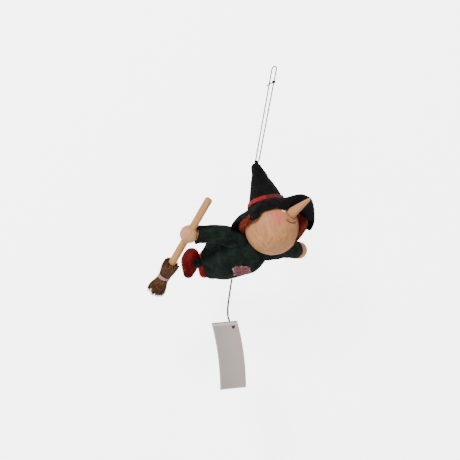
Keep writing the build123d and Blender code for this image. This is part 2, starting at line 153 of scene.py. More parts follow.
def periodic(table: Sequence[tuple[float, ...]], angle: float) -> list[float]:
    """Read a smooth closed curve that passes through rows of (degrees, values...).

    Args:
        table: Rows in rising order of angle, covering one turn.
        angle: The angle to read, in degrees.

    Returns:
        The values at that angle.
    """
    turn = (angle - table[0][0]) % 360 + table[0][0]
    count = len(table)
    index = max(i for i in range(count) if table[i][0] <= turn)
    rows = [table[(index + step) % count] for step in (-1, 0, 1, 2)]
    start = table[index][0]
    end = table[index + 1][0] if index + 1 < count else table[0][0] + 360
    t = (turn - start) / (end - start)
    values = []
    for before, here, after, beyond in zip(*(row[1:] for row in rows)):
        slope_here, slope_after = (after - before) / 2, (beyond - here) / 2
        values.append(
            (2 * t**3 - 3 * t**2 + 1) * here + (t**3 - 2 * t**2 + t) * slope_here
            + (3 * t**2 - 2 * t**3) * after + (t**3 - t**2) * slope_after
        )
    return values


# ------------------------------------------------------------------ modelling helpers
def start_clean() -> None:
    """Leave edit mode and deselect everything, because operators act on all that is selected."""
    if bpy.context.object and bpy.context.object.mode != "OBJECT":
        bpy.ops.object.mode_set(mode="OBJECT")
    bpy.ops.object.select_all(action="DESELECT")


def take(piece: Piece) -> None:
    """Make a piece the only selected and the active one."""
    start_clean()
    piece.select_set(True)
    bpy.context.view_layer.objects.active = piece


def lathe(name: str, stations: Sequence[tuple[float, float]], sides: int = 64, close: str = "") -> Piece:
    """Raise a shell ring by ring from a circle, along local Z.

    Args:
        name: The piece's name.
        stations: Radius and height of each ring, from the first to the last.
        sides: Corners in each ring.
        close: "first", "end" or "both" closes that ring, or both, to a point.

    Returns:
        The shell, in local coordinates.
    """
    start_clean()
    radius, height = stations[0]
    bpy.ops.mesh.primitive_circle_add(vertices=sides, radius=radius, location=(0, 0, height))
    piece = bpy.context.object
    piece.name = name
    bpy.ops.object.mode_set(mode="EDIT")
    bpy.ops.mesh.select_mode(type="VERT")
    bpy.ops.mesh.select_all(action="SELECT")
    for next_radius, next_height in stations[1:]:
        step = next_height - height
        bpy.ops.mesh.extrude_region_move(TRANSFORM_OT_translate={"value": (0, 0, step)})
        scale = next_radius / radius
        bpy.ops.transform.resize(value=(scale, scale, 1), center_override=(0, 0, next_height))
        radius, height = next_radius, next_height
    if close in ("end", "both"):
        bpy.ops.mesh.merge(type="CENTER")
    bpy.ops.object.mode_set(mode="OBJECT")
    bpy.ops.object.transform_apply(location=True, rotation=True, scale=True)
    if close in ("first", "both"):
        for parts in (piece.data.edges, piece.data.polygons):
            parts.foreach_set("select", [False] * len(parts))
        for vertex in piece.data.vertices:
            vertex.select = vertex.index < sides
        bpy.ops.object.mode_set(mode="EDIT")
        bpy.ops.mesh.merge(type="CENTER")
        bpy.ops.object.mode_set(mode="OBJECT")
    face_outwards(piece)
    return piece


def face_outwards(piece: Piece) -> None:
    """Turn every face of a piece outwards."""
    take(piece)
    bpy.ops.object.mode_set(mode="EDIT")
    bpy.ops.mesh.select_all(action="SELECT")
    bpy.ops.mesh.remove_doubles(threshold=1e-6)
    bpy.ops.mesh.normals_make_consistent(inside=False)
    bpy.ops.object.mode_set(mode="OBJECT")


def shape(piece: Piece, move: Callable[[Vector], Vector]) -> None:
    """Push every vertex of a piece by a given rule.

    Args:
        piece: The mesh to shape.
        move: Gives a vertex's new place from its old one.
    """
    for vertex in piece.data.vertices:
        vertex.co = move(vertex.co.copy())
    piece.data.update()


def place(piece: Piece, local: Matrix) -> None:
    """Carry a piece's mesh from a local frame into the row frame."""
    piece.data.transform(local)
    piece.data.update()


def modify(piece: Piece, kind: str, **settings: object) -> None:
    """Add a modifier, set it and apply it.

    Args:
        piece: The piece to change.
        kind: The modifier's type.
        settings: Its settings by name.
    """
    take(piece)
    modifier = piece.modifiers.new(kind.title(), kind)
    for key, value in settings.items():
        setattr(modifier, key, value)
    bpy.ops.object.modifier_apply(modifier=modifier.name)


def soften(piece: Piece, degrees: float = 60) -> None:
    """Shade a piece smooth, except over sharp edges."""
    take(piece)
    bpy.ops.object.shade_smooth_by_angle(angle=math.radians(degrees))


def round_over(piece: Piece, degrees: float = 60) -> None:
    """Subdivide a piece once and shade it smooth."""
    modify(piece, "SUBSURF", levels=1, render_levels=1)
    soften(piece, degrees)


def sew(
    piece: Piece, move: Callable[[Vector], Vector], local: Matrix,
    thickness: float = 0.0, offset: float = -1.0, degrees: float = 60,
) -> Piece:
    """Shape a piece in its own frame, carry it into the row frame and round it over.

    Args:
        piece: The mesh, in local coordinates.
        move: Gives a vertex's new place from its old one.
        local: The matrix from local to row coordinates.
        thickness: The sheet's thickness, or 0 for a closed shape.
        offset: Where the thickness goes: -1 inwards, 1 outwards.
        degrees: Edges sharper than this stay sharp.

    Returns:
        The same piece.
    """
    shape(piece, move)
    place(piece, local)
    if thickness:
        modify(piece, "SOLIDIFY", thickness=thickness, offset=offset)
    round_over(piece, degrees)
    return piece


def paint_nodes(nodes: Sequence[str], material: Material) -> None:
    """Give CAD nodes that keep their own shape one material."""
    for name in nodes:
        faces = frame["nodes"][name].data
        faces.materials.clear()
        faces.materials.append(material)


def dress_piece(
    piece: Piece, material: Material, body: Body | None,
    nodes: Sequence[str] = (),
) -> Piece:
    """Give a finished piece its material, its body and the CAD nodes it stands for.

    Args:
        piece: The finished piece.
        material: Its finish.
        body: The body it rides on, or None to leave it on no body.
        nodes: CAD nodes that it replaces.

    Returns:
        The same piece.
    """
    piece.data.materials.clear()
    piece.data.materials.append(material)
    if body is not None:
        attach(piece, body.value)
    if nodes:
        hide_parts(*nodes)
    LOG.info("%s made", piece.name)
    return piece


def strands(name: str, lines: Sequence[Sequence[Vector]], radius: float, tip: float = 0.4) -> Piece:
    """Make a bundle of thin tapering fibres as one mesh.

    Args:
        name: The piece's name.
        lines: The points of each fibre, from root to tip.
        radius: The radius at the root.
        tip: The share of it left at the tip.

    Returns:
        The fibres as one mesh.
    """
    start_clean()
    curve = bpy.data.curves.new(name, "CURVE")
    curve.dimensions = "3D"
    curve.bevel_depth = radius
    curve.bevel_resolution = 0
    curve.use_fill_caps = True
    for line in lines:
        spline = curve.splines.new("POLY")
        spline.points.add(len(line) - 1)
        for index, (knot, point) in enumerate(zip(spline.points, line)):
            knot.co = (*point, 1)
            knot.radius = 1 - (1 - tip) * index / (len(line) - 1)
    piece = bpy.data.objects.new(name, curve)
    bpy.context.scene.collection.objects.link(piece)
    take(piece)
    bpy.ops.object.convert(target="MESH")
    piece = bpy.context.object
    bpy.ops.object.shade_smooth()
    return piece


def nurbs_cord(name: str, route: Sequence[Point], diameter: float) -> Piece:
    """Lay a round cord along one smooth curve with the route's points as its control points.

    Args:
        name: The piece's name.
        route: Control points, in metres.
        diameter: The cord's diameter.

    Returns:
        The cord as a curve object.
    """
    start_clean()
    curve = bpy.data.curves.new(name, "CURVE")
    curve.dimensions = "3D"
    curve.resolution_u = 16
    curve.bevel_depth = diameter / 2
    curve.bevel_resolution = 4
    curve.use_fill_caps = True
    spline = curve.splines.new("NURBS")
    spline.points.add(len(route) - 1)
    for knot, point in zip(spline.points, route):
        knot.co = (*point, 1)
    spline.order_u = 3
    spline.use_endpoint_u = True
    piece = bpy.data.objects.new(name, curve)
    bpy.context.scene.collection.objects.link(piece)
    return piece


def cord_mesh(name: str, route: Sequence[Point], diameter: float) -> Piece:
    """Lay a cord as nurbs_cord does and turn it into a mesh."""
    take(nurbs_cord(name, route, diameter))
    bpy.ops.object.convert(target="MESH")
    return bpy.context.object


# ------------------------------------------------------------------ shader helpers
class Nodes:
    """A node tree, with short calls that finishes and shared effects both use."""

    tree: bpy.types.NodeTree

    def node(self, kind: str, **settings: object) -> bpy.types.Node:
        """Add a node and set its properties."""
        made = self.tree.nodes.new(kind)
        for key, value in settings.items():
            setattr(made, key, value)
        return made

    def link(self, source: Socket, target: Socket) -> None:
        """Join two sockets."""
        self.tree.links.new(source, target)

    def math(self, operation: str, *values: object) -> Socket:
        """Work out one number from sockets or plain values."""
        made = self.node("ShaderNodeMath", operation=operation)
        for slot, value in zip(made.inputs, values):
            if isinstance(value, Socket):
                self.link(value, slot)
            else:
                slot.default_value = value
        return made.outputs[0]

    def times(self, value: Socket, factor: object) -> Socket:
        """Multiply a number by a socket or a plain value."""
        return self.math("MULTIPLY", value, factor)

    def axes(self, vector: Socket) -> tuple[Socket, ...]:
        """Split a vector into its three numbers."""
        made = self.node("ShaderNodeSeparateXYZ")
        self.link(vector, made.inputs[0])
        return tuple(made.outputs)

    def noise(self, vector: Socket, scale: float, detail: float = 2, rough: float = 0.5) -> Socket:
        """Add a noise and return its height."""
        made = self.node("ShaderNodeTexNoise")
        self.link(vector, made.inputs["Vector"])
        for key, value in (("Scale", scale), ("Detail", detail), ("Roughness", rough)):
            made.inputs[key].default_value = value
        return made.outputs["Fac"]

    def stretch(self, vector: Socket, factors: Point) -> Socket:
        """Scale a vector along each axis."""
        made = self.node("ShaderNodeVectorMath", operation="MULTIPLY")
        self.link(vector, made.inputs[0])
        made.inputs[1].default_value = factors
        return made.outputs["Vector"]


class Shader(Nodes):
    """A material's node tree, with the calls that only finishes use."""

    def __init__(self, name: str) -> None:
        """Start a material with a Principled shader."""
        self.material = bpy.data.materials.new(name)
        self.material.use_nodes = True
        self.tree = self.material.node_tree
        self.surface = self.tree.nodes["Principled BSDF"]

    def coordinates(self, local: Matrix | None = None) -> Socket:
        """Read Object coordinates, in a local frame if one is given."""
        vector = self.node("ShaderNodeTexCoord").outputs["Object"]
        return vector if local is None else self.within(vector, local)

    def within(self, vector: Socket, local: Matrix) -> Socket:
        """Carry a vector into a local frame."""
        mapping = self.node("ShaderNodeMapping", vector_type="TEXTURE")
        mapping.inputs["Location"].default_value = local.to_translation()
        mapping.inputs["Rotation"].default_value = local.to_euler()
        self.link(vector, mapping.inputs["Vector"])
        return mapping.outputs["Vector"]

    def mix(self, factor: Socket, first: object, second: object) -> Socket:
        """Mix two colours, each a socket or a plain colour."""
        made = self.node("ShaderNodeMix", data_type="RGBA")
        self.link(factor, made.inputs["Factor"])
        for name, value in (("A", first), ("B", second)):
            slot = next(s for s in made.inputs if s.name == name and s.type == "RGBA")
            if isinstance(value, Socket):
                self.link(value, slot)
            else:
                slot.default_value = value
        return next(s for s in made.outputs if s.type == "RGBA")

    def ramp(self, value: Socket, low: float, high: float) -> Socket:
        """Ease a number from 0 at low to 1 at high."""
        made = self.node("ShaderNodeMapRange", interpolation_type="SMOOTHSTEP")
        self.link(value, made.inputs["Value"])
        made.inputs["From Min"].default_value = low
        made.inputs["From Max"].default_value = high
        return made.outputs["Result"]

    def fade(self, value: Socket, low: float, high: float) -> Socket:
        """Ease a number from 1 at low to 0 at high."""
        return self.math("SUBTRACT", 1.0, self.ramp(value, low, high))

    def near(self, vector: Socket, centre: Vector) -> Socket:
        """Measure the distance from a place, in metres."""
        made = self.node("ShaderNodeVectorMath", operation="DISTANCE")
        self.link(vector, made.inputs[0])
        made.inputs[1].default_value = centre
        return made.outputs["Value"]

    def group(self, group: bpy.types.NodeTree, vector: Socket, **values: float) -> bpy.types.Node:
        """Place a shared effect and give it this material's values."""
        made = self.node("ShaderNodeGroup", node_tree=group)
        self.link(vector, made.inputs["Vector"])
        for key, value in values.items():
            made.inputs[key.replace("_", " ").title()].default_value = value
        return made

    def bump(self, height: Socket, distance: float, strength: float = 1.0) -> None:
        """Raise the surface by a height pattern."""
        made = self.node("ShaderNodeBump")
        made.inputs["Distance"].default_value = distance
        made.inputs["Strength"].default_value = strength
        self.link(height, made.inputs["Height"])
        self.link(made.outputs["Normal"], self.surface.inputs["Normal"])

    def paint(self, colour: Socket) -> None:
        """Lead a colour to the surface."""
        self.link(colour, self.surface.inputs["Base Color"])

    def finish(
        self, colour: Socket, relief: tuple[Socket, float, float] | None = None, **constants: object,
    ) -> Material:
        """Paint the surface, raise it and set what is the same all over it.

        Args:
            colour: The colour of the surface.
            relief: A height pattern, its depth in metres and its strength, if there is one.
            constants: Values for the shader's own inputs.

        Returns:
            The finished material.
        """
        self.paint(colour)
        if relief:
            self.bump(*relief)
        self.constants(**constants)
        return self.material

    def tones(self, tone: Socket, low: float, high: float, dark: object, light: Colour) -> Socket:
        """Go from the dark colour to the light one as a number rises from low to high."""
        return self.mix(self.ramp(tone, low, high), dark, light)

    def constants(self, **values: object) -> None:
        """Set values that are the same all over the surface, on the shader itself."""
        for key, value in values.items():
            self.surface.inputs[key.replace("_", " ")].default_value = value


class EffectGroup(Nodes):
    """A shared shader effect: a node group with a Vector input and named outputs."""

    def __init__(self, name: str, inputs: dict[str, float], outputs: Sequence[str]) -> None:
        """Make the group with its sockets.

        Args:
            name: The group's name.
            inputs: Number inputs and their defaults.
            outputs: Names of the number outputs.
        """
        self.tree = bpy.data.node_groups.new(name, "ShaderNodeTree")
        face = self.tree.interface
        face.new_socket("Vector", in_out="INPUT", socket_type="NodeSocketVector")
        for key, value in inputs.items():
            face.new_socket(key, in_out="INPUT", socket_type="NodeSocketFloat").default_value = value
        for key in outputs:
            face.new_socket(key, in_out="OUTPUT", socket_type="NodeSocketFloat")
        self.source = self.tree.nodes.new("NodeGroupInput").outputs
        self.result = self.tree.nodes.new("NodeGroupOutput").inputs

    def give(self, name: str, value: Socket) -> None:
        """Lead a number to one of the outputs."""
        self.link(value, self.result[name])


# ------------------------------------------------------------------ shared effects
def grain_effect() -> bpy.types.NodeTree:
    """Make the wood grain: long thin streaks along local Z, in metres.

    Returns:
        The group, with Tone and Height outputs.
    """
    effect = EffectGroup("Wood grain", {}, ("Tone", "Height"))
    vector = effect.source["Vector"]
    broad = effect.noise(effect.stretch(vector, (1, 1, 0.1)), 420, 2, 0.5)
    fine = effect.noise(effect.stretch(vector, (1, 1, 0.04)), 2300, 2, 0.6)
    pores = effect.math("SMOOTH_MAX", effect.math("SUBTRACT", fine, 0.58), 0.0, 0.02)
    tone = effect.math("ADD", effect.times(broad, 0.6), effect.times(fine, 0.4))
    effect.give("Tone", tone)
    effect.give("Height", effect.math("SUBTRACT", broad, effect.times(pores, 4.0)))
    return effect.tree


def felt_effect() -> bpy.types.NodeTree:
    """Make felted wool: soft clouds of lighter nap and a matted fibre relief.

    Returns:
        The group, with Tone and Height outputs.
    """
    effect = EffectGroup("Felt", {}, ("Tone", "Height"))
    vector = effect.source["Vector"]
    clouds = effect.noise(vector, 150, 3, 0.6)
    fibres = effect.noise(effect.stretch(vector, (1, 1, 0.35)), 2600, 4, 0.75)
    cross = effect.noise(effect.stretch(vector, (0.35, 1, 1)), 2100, 3, 0.7)
    nap = effect.math("MAXIMUM", fibres, cross)
    effect.give("Tone", effect.math("ADD", effect.times(clouds, 0.55), effect.times(nap, 0.45)))
    effect.give("Height", nap)
    return effect.tree


def twist_effect() -> bpy.types.NodeTree:
    """Make the twist of a thin cord: slanting ridges along local Z.

    Returns:
        The group, with Tone and Height outputs; Pitch is in ridges per metre.
    """
    effect = EffectGroup("Cord twist", {"Pitch": 900.0}, ("Tone", "Height"))
    across, _, up = effect.axes(effect.source["Vector"])
    slant = effect.math("ADD", up, effect.times(across, 0.8))
    ridges = effect.times(slant, effect.source["Pitch"])
    wave = effect.math("SINE", effect.times(ridges, math.tau))
    fibres = effect.noise(effect.source["Vector"], 3000, 3, 0.7)
    effect.give("Height", effect.math("ADD", effect.times(wave, 0.35), fibres))
    effect.give("Tone", effect.math("ADD", effect.times(wave, 0.2), fibres))
    return effect.tree


GRAIN = grain_effect()
NAP = felt_effect()
TWIST = twist_effect()


# ------------------------------------------------------------------ finishes
@dataclass(frozen=True)
class Wood:
    """Turned beech, sanded and left bare or stained."""

    name: str
    light: Colour
    dark: Colour
    roughness: float = 0.5
    relief: float = 0.00004
    specular: float = 0.4

    def shader(self, local: Matrix) -> tuple[Shader, Socket]:
        """Make the wood with its grain along local Z.

        Args:
            local: The frame that the grain follows.

        Returns:
            The shader and its colour, for paint to be laid on.
        """
        shader = Shader(self.name)
        grain = shader.group(GRAIN, shader.coordinates(local))
        colour = shader.tones(grain.outputs["Tone"], 0.25, 0.7, self.dark, self.light)
        shader.bump(grain.outputs["Height"], self.relief, 0.6)
        shader.constants(Roughness=self.roughness, Specular_IOR_Level=self.specular)
        return shader, colour

    def make(self, local: Matrix) -> Material:
        """Make the plain material."""
        shader, colour = self.shader(local)
        return shader.finish(colour)


@dataclass(frozen=True)
class FaceMark:
    """A painted stroke on the ball, bowed like a shallow bowl or hill."""

    where: Point
    half_width: float
    bow: float
    thickness: float
    colour: Colour
    strength: float = 1.0
    mirrored: bool = False


@dataclass(frozen=True)
class FacePaint:
    """The painted face: two soft blushes, two eyes and a mouth, with painted shadow of the nose: a dark ring
    round its foot and a paler line just above the mouth.
    """

    wood: Wood
    centre: Vector
    radius: float
    level: Vector
    blush: Point
    blush_radius: float
    blush_colour: Colour
    nose_foot: Vector
    nose_radius: float
    nose_shadow_colour: Colour
    marks: tuple[FaceMark, ...]

    def on_ball(self, place_seen: Point) -> Vector:
        """Put a point onto the ball's surface, straight out from its centre."""
        return self.centre + (Vector(place_seen) - self.centre).normalized() * self.radius

    def mirror(self, point: Vector) -> Vector:
        """Carry a point to the other side of the face."""
        offset = point - self.centre
        return self.centre + offset - 2 * offset.dot(self.level) * self.level

    def stroke(self, shader: Shader, vector: Socket, mark: FaceMark, middle: Vector) -> Socket:
        """Make the mask of one stroke from its local across and up distances."""
        outward = (middle - self.centre).normalized()
        up = Vector((0, 0, 1))
        up = (up - outward * up.dot(outward)).normalized()
        local = axes_frame(middle, up.cross(outward), up, outward)
        u, v, depth = shader.axes(shader.within(vector, local))
        bowed = shader.math("SUBTRACT", v, shader.times(shader.times(u, u), mark.bow))
        off_line = shader.math("ABSOLUTE", bowed)
        thin = shader.fade(off_line, mark.thickness * 0.35, mark.thickness)
        short = shader.fade(shader.math("ABSOLUTE", u), mark.half_width * 0.8, mark.half_width)
        front = shader.math("GREATER_THAN", depth, -self.radius * 0.6)
        mask = shader.times(shader.times(thin, short), front)
        return shader.times(mask, mark.strength)

    def make(self, local: Matrix) -> Material:
        """Make the wood of the ball with the face painted on it."""
        shader, colour = self.wood.shader(local)
        vector = shader.coordinates()
        cheek = self.on_ball(self.blush)
        speckle = shader.times(shader.noise(vector, 900), 0.002)
        for spot in (cheek, self.mirror(cheek)):
            rough_edge = shader.math("ADD", shader.near(vector, spot), speckle)
            fade = shader.fade(rough_edge, 0.0, self.blush_radius * 1.75)
            colour = shader.mix(shader.times(fade, 0.9), colour, self.blush_colour)
        # Painted shadow: a thin dark ring where the nose meets the ball.
        off_foot = shader.math("SUBTRACT", shader.near(vector, self.nose_foot), self.nose_radius)
        shade = shader.fade(shader.math("ABSOLUTE", off_foot), 0.0001, 0.0007)
        colour = shader.mix(shader.times(shade, 0.7), colour, self.nose_shadow_colour)
        for mark in self.marks:
            middle = self.on_ball(mark.where)
            for spot in (middle, self.mirror(middle)) if mark.mirrored else (middle,):
                colour = shader.mix(self.stroke(shader, vector, mark, spot), colour, mark.colour)
        return shader.finish(colour)


@dataclass(frozen=True)
class Felt:
    """Matted wool felt or felted fleece."""

    name: str
    dark: Colour
    light: Colour
    relief: float
    sheen: float

    def make(self) -> Material:
        """Make the material."""
        shader = Shader(self.name)
        nap = shader.group(NAP, shader.coordinates())
        colour = shader.tones(nap.outputs["Tone"], 0.38, 0.72, self.dark, self.light)
        return shader.finish(
            colour, (nap.outputs["Height"], self.relief, 0.9),
            Roughness=0.95, Sheen_Weight=self.sheen, Sheen_Roughness=0.6, Specular_IOR_Level=0.05,
        )


@dataclass(frozen=True)
class Ribbon:
    """Narrow woven ribbon with two pale lines, painted lit on one side of its overlap and in shade on the
    other.
    """

    name: str
    lit_colour: Colour
    shaded_colour: Colour
    line: Colour
    foot: float
    width: float
    seam_turn: float

    def make(self, local: Matrix) -> Material:
        """Make the ribbon for a band round local Z."""
        shader = Shader(self.name)
        x, y, z = shader.axes(shader.coordinates(local))
        turn = shader.math("ARCTAN2", y, x)
        # Painted light and shade: before the overlap the ribbon takes the lit red, beyond it the shaded red.
        shaded_side = shader.ramp(turn, self.seam_turn - 0.02, self.seam_turn + 0.02)
        colour = shader.mix(shaded_side, self.lit_colour, self.shaded_colour)
        weave = shader.math("SINE", shader.times(turn, 330.0))
        for share in (0.3, 0.68):
            off = shader.math("ABSOLUTE", shader.math("SUBTRACT", z, self.foot + self.width * share))
            mask = shader.fade(off, 0.0001, 0.0004)
            colour = shader.mix(shader.times(mask, 0.45), colour, self.line)
        relief = (weave, 0.00006, 0.6)
        return shader.finish(colour, relief, Roughness=0.7, Sheen_Weight=0.05, Specular_IOR_Level=0.2)


@dataclass(frozen=True)
class Fibre:
    """Loose fibres, each a little lighter or darker than the next."""

    name: str
    dark: Colour
    middle: Colour
    light: Colour
    scale: float = 700.0

    def make(self, local: Matrix | None = None) -> Material:
        """Make the material, with streaks along local Z if a frame is given."""
        shader = Shader(self.name)
        vector = shader.coordinates(local)
        if local is not None:
            vector = shader.stretch(vector, (1, 1, 0.06))
        tone = shader.noise(vector, self.scale)
        low = shader.tones(tone, 0.3, 0.5, self.dark, self.middle)
        colour = shader.tones(tone, 0.52, 0.7, low, self.light)
        return shader.finish(colour, Roughness=0.7, Specular_IOR_Level=0.35)


@dataclass(frozen=True)
class Cord:
    """Twisted cord or string."""

    name: str
    dark: Colour
    light: Colour
    pitch: float
    relief: float

    def make(self, local: Matrix | None = None) -> Material:
        """Make the material with its twist along local Z."""
        shader = Shader(self.name)
        twist = shader.group(TWIST, shader.coordinates(local), pitch=self.pitch)
        colour = shader.tones(twist.outputs["Tone"], 0.25, 0.75, self.dark, self.light)
        relief = (twist.outputs["Height"], self.relief, 0.9)
        return shader.finish(colour, relief, Roughness=0.8, Specular_IOR_Level=0.25)


@dataclass(frozen=True)
class Plaid:
    """Loosely woven check cloth with its own two thread colours, paler towards its middle."""

    name: str
    ground: Colour
    stripe: Colour
    accent: Colour
    pitch: float
    middle_paleness: float = 0.5

    def band(self, shader: Shader, value: Socket, width: float, shift: float) -> Socket:
        """Mask the stripes across one local direction."""
        wave = shader.math("PINGPONG", shader.math("ADD", value, shift), self.pitch / 2)
        return shader.fade(wave, width * 0.7, width)

    def make(self, local: Matrix) -> Material:
        """Make the cloth with its threads along local X and Y."""
        shader = Shader(self.name)
        vector = shader.coordinates(local)
        x, y, _ = shader.axes(vector)
        broad, narrow = self.pitch * 0.13, self.pitch * 0.05
        pale = shader.math("MAXIMUM", self.band(shader, x, broad, 0.0), self.band(shader, y, broad, 0.001))
        thin = shader.math(
            "MAXIMUM", self.band(shader, x, narrow, self.pitch * 0.3),
            self.band(shader, y, narrow, self.pitch * 0.36),
        )
        colour = shader.mix(shader.times(pale, 0.7), self.ground, self.stripe)
        colour = shader.mix(shader.times(thin, 0.6), colour, self.accent)
        # The middle of the patch is washed towards the stripe colour.
        middle_mask = shader.fade(shader.near(vector, Vector()), 0.0005, 0.003)
        colour = shader.mix(shader.times(middle_mask, self.middle_paleness), colour, self.stripe)
        threads = [shader.math("SINE", shader.times(run, 14000.0)) for run in (x, y)]
        relief = (shader.times(*threads), 0.00015, 0.8)
        return shader.finish(colour, relief, Roughness=0.9, Sheen_Weight=0.2)


@dataclass(frozen=True)
class Card:
    """Coloured card: a grey face painted from shade to light across it, with a thin pale border, and a paler
    fold along its top.
    """

    name: str
    shaded_grey: Colour
    lit_grey: Colour
    edge: Colour
    width: float
    length: float
    border: float = 0.0007
    strip: float = 0.0028

    def make(self, local: Matrix) -> Material:
        """Make the card; local X runs across from its corner and local Y down."""
        shader = Shader(self.name)
        vector = shader.coordinates(local)
        x, down, _ = shader.axes(vector)
        # Painted light and shade: the grey runs from shaded at X = 0 to lit at the far side.
        colour = shader.mix(shader.ramp(x, 0.0, self.width), self.shaded_grey, self.lit_grey)
        side = shader.math("MINIMUM", x, shader.math("SUBTRACT", self.width, x))
        inset = shader.math("MINIMUM", side, shader.math("SUBTRACT", self.length, down))
        rim = shader.fade(inset, self.border * 0.7, self.border * 1.3)
        fold = shader.fade(down, self.strip * 0.85, self.strip * 1.1)
        pale = shader.math("MAXIMUM", shader.times(rim, 0.55), fold)
        colour = shader.mix(pale, colour, self.edge)
        fibre = shader.noise(vector, 1800, 4)
        colour = shader.mix(shader.times(fibre, 0.18), colour, self.edge)
        return shader.finish(colour, (fibre, 0.00004, 0.5), Roughness=0.75, Specular_IOR_Level=0.3)


@dataclass(frozen=True)
class Plain:
    """One even colour, for backdrop and wire."""

    name: str
    colour: Colour
    roughness: float = 0.9
    metallic: float = 0.0

    def make(self) -> Material:
        """Make the material."""
        shader = Shader(self.name)
        shader.constants(Base_Color=self.colour, Roughness=self.roughness, Metallic=self.metallic)
        return shader.material


def srgb(red: float, green: float, blue: float) -> Colour:
    """Turn a display colour of 0 to 255 into the linear colour that shaders use."""
    linear = [
        value / 12.92 if value <= 0.04045 else ((value + 0.055) / 1.055) ** 2.4
        for value in (red / 255, green / 255, blue / 255)
    ]
    return (*linear, 1.0)


BALL_WOOD = Wood("Ball wood", srgb(192, 137, 91), srgb(158, 101, 57), 0.55, 0.00003, specular=0.3)
HAND_WOOD = Wood("Hand wood", srgb(204, 148, 106), srgb(174, 116, 76), roughness=0.5)
STICK_WOOD = Wood("Stick wood", srgb(200, 146, 90), srgb(156, 104, 54), roughness=0.6)
RED_WOOD = Wood("Stained shoe wood", srgb(104, 0, 2), srgb(58, 0, 1), 0.6, 0.00005, specular=0.1)
# Painted light: the shoes' red stain again, made lighter because the far shoe is lit.
LIT_SHOE_WOOD = Wood("Stained shoe wood, lit copy", srgb(164, 1, 3), srgb(104, 0, 1), roughness=0.6, specular=0.1)
BLACK_FELT = Felt("Black hat felt", (0.0016, 0.0016, 0.0018, 1), (0.0072, 0.0072, 0.0078, 1), 0.0002, 0.02)
GREEN_FELT = Felt("Dark green felt", (0.0022, 0.0042, 0.0032, 1), (0.0125, 0.0205, 0.0165, 1), 0.00035, 0.03)
# The ribbon's lit red, shaded red and line colour, then its foot, its width and the turn where the painted
# shade starts.
HAT_RIBBON = Ribbon(
    "Hat ribbon", srgb(132, 0, 10), srgb(84, 4, 14), srgb(100, 34, 38), 0.020, 0.004, math.radians(-86),
)
HAIR = Fibre("Rust hair", srgb(38, 7, 2), srgb(108, 30, 6), srgb(172, 64, 18), 900)
BRISTLE = Fibre("Broom bristle", srgb(24, 12, 5), srgb(70, 38, 14), srgb(128, 84, 40), 1200)
STRING = Cord("Pink grey string", srgb(140, 104, 98), srgb(200, 168, 160), 1100, 0.0002)
BLACK_CORD = Cord("Black hanging cord", (0.002, 0.002, 0.002, 1), (0.018, 0.018, 0.019, 1), 900, 0.0002)
GREY_CORD = Cord("Grey brown cord", srgb(44, 36, 30), srgb(98, 82, 72), 700, 0.0003)
FRONT_PLAID = Plaid("Red check", srgb(108, 0, 10), srgb(116, 70, 78), srgb(54, 12, 30), 0.0052, 0.6)
BACK_PLAID = Plaid("Blue check", srgb(20, 20, 50), srgb(150, 10, 20), srgb(150, 110, 70), 0.004, 0.0)
THREAD = Fibre("Frayed thread", srgb(150, 110, 116), srgb(188, 156, 160), srgb(220, 204, 204))
WIRE = Plain("Annealed wire", (0.3, 0.3, 0.31, 1), 0.4, 1.0)
PAPER = Plain("Pale backdrop", (0.92, 0.92, 0.92, 1), 0.95)


# ------------------------------------------------------------------ studio
@dataclass(frozen=True)
class Lamp:
    """One square soft light: where it hangs, its side in metres and its power in watts."""

    name: str
    hangs: Point
    size: float
    power: float

    def build(self, target: Point) -> None:
        """Hang the light and aim it at the target."""
        start_clean()
        bpy.ops.object.light_add(type="AREA", location=self.hangs)
        lamp = bpy.context.object
        lamp.name = self.name
        lamp.data.size = self.size
        lamp.data.energy = self.power
        lamp.rotation_euler = (Vector(target) - Vector(self.hangs)).to_track_quat("-Z", "Y").to_euler()


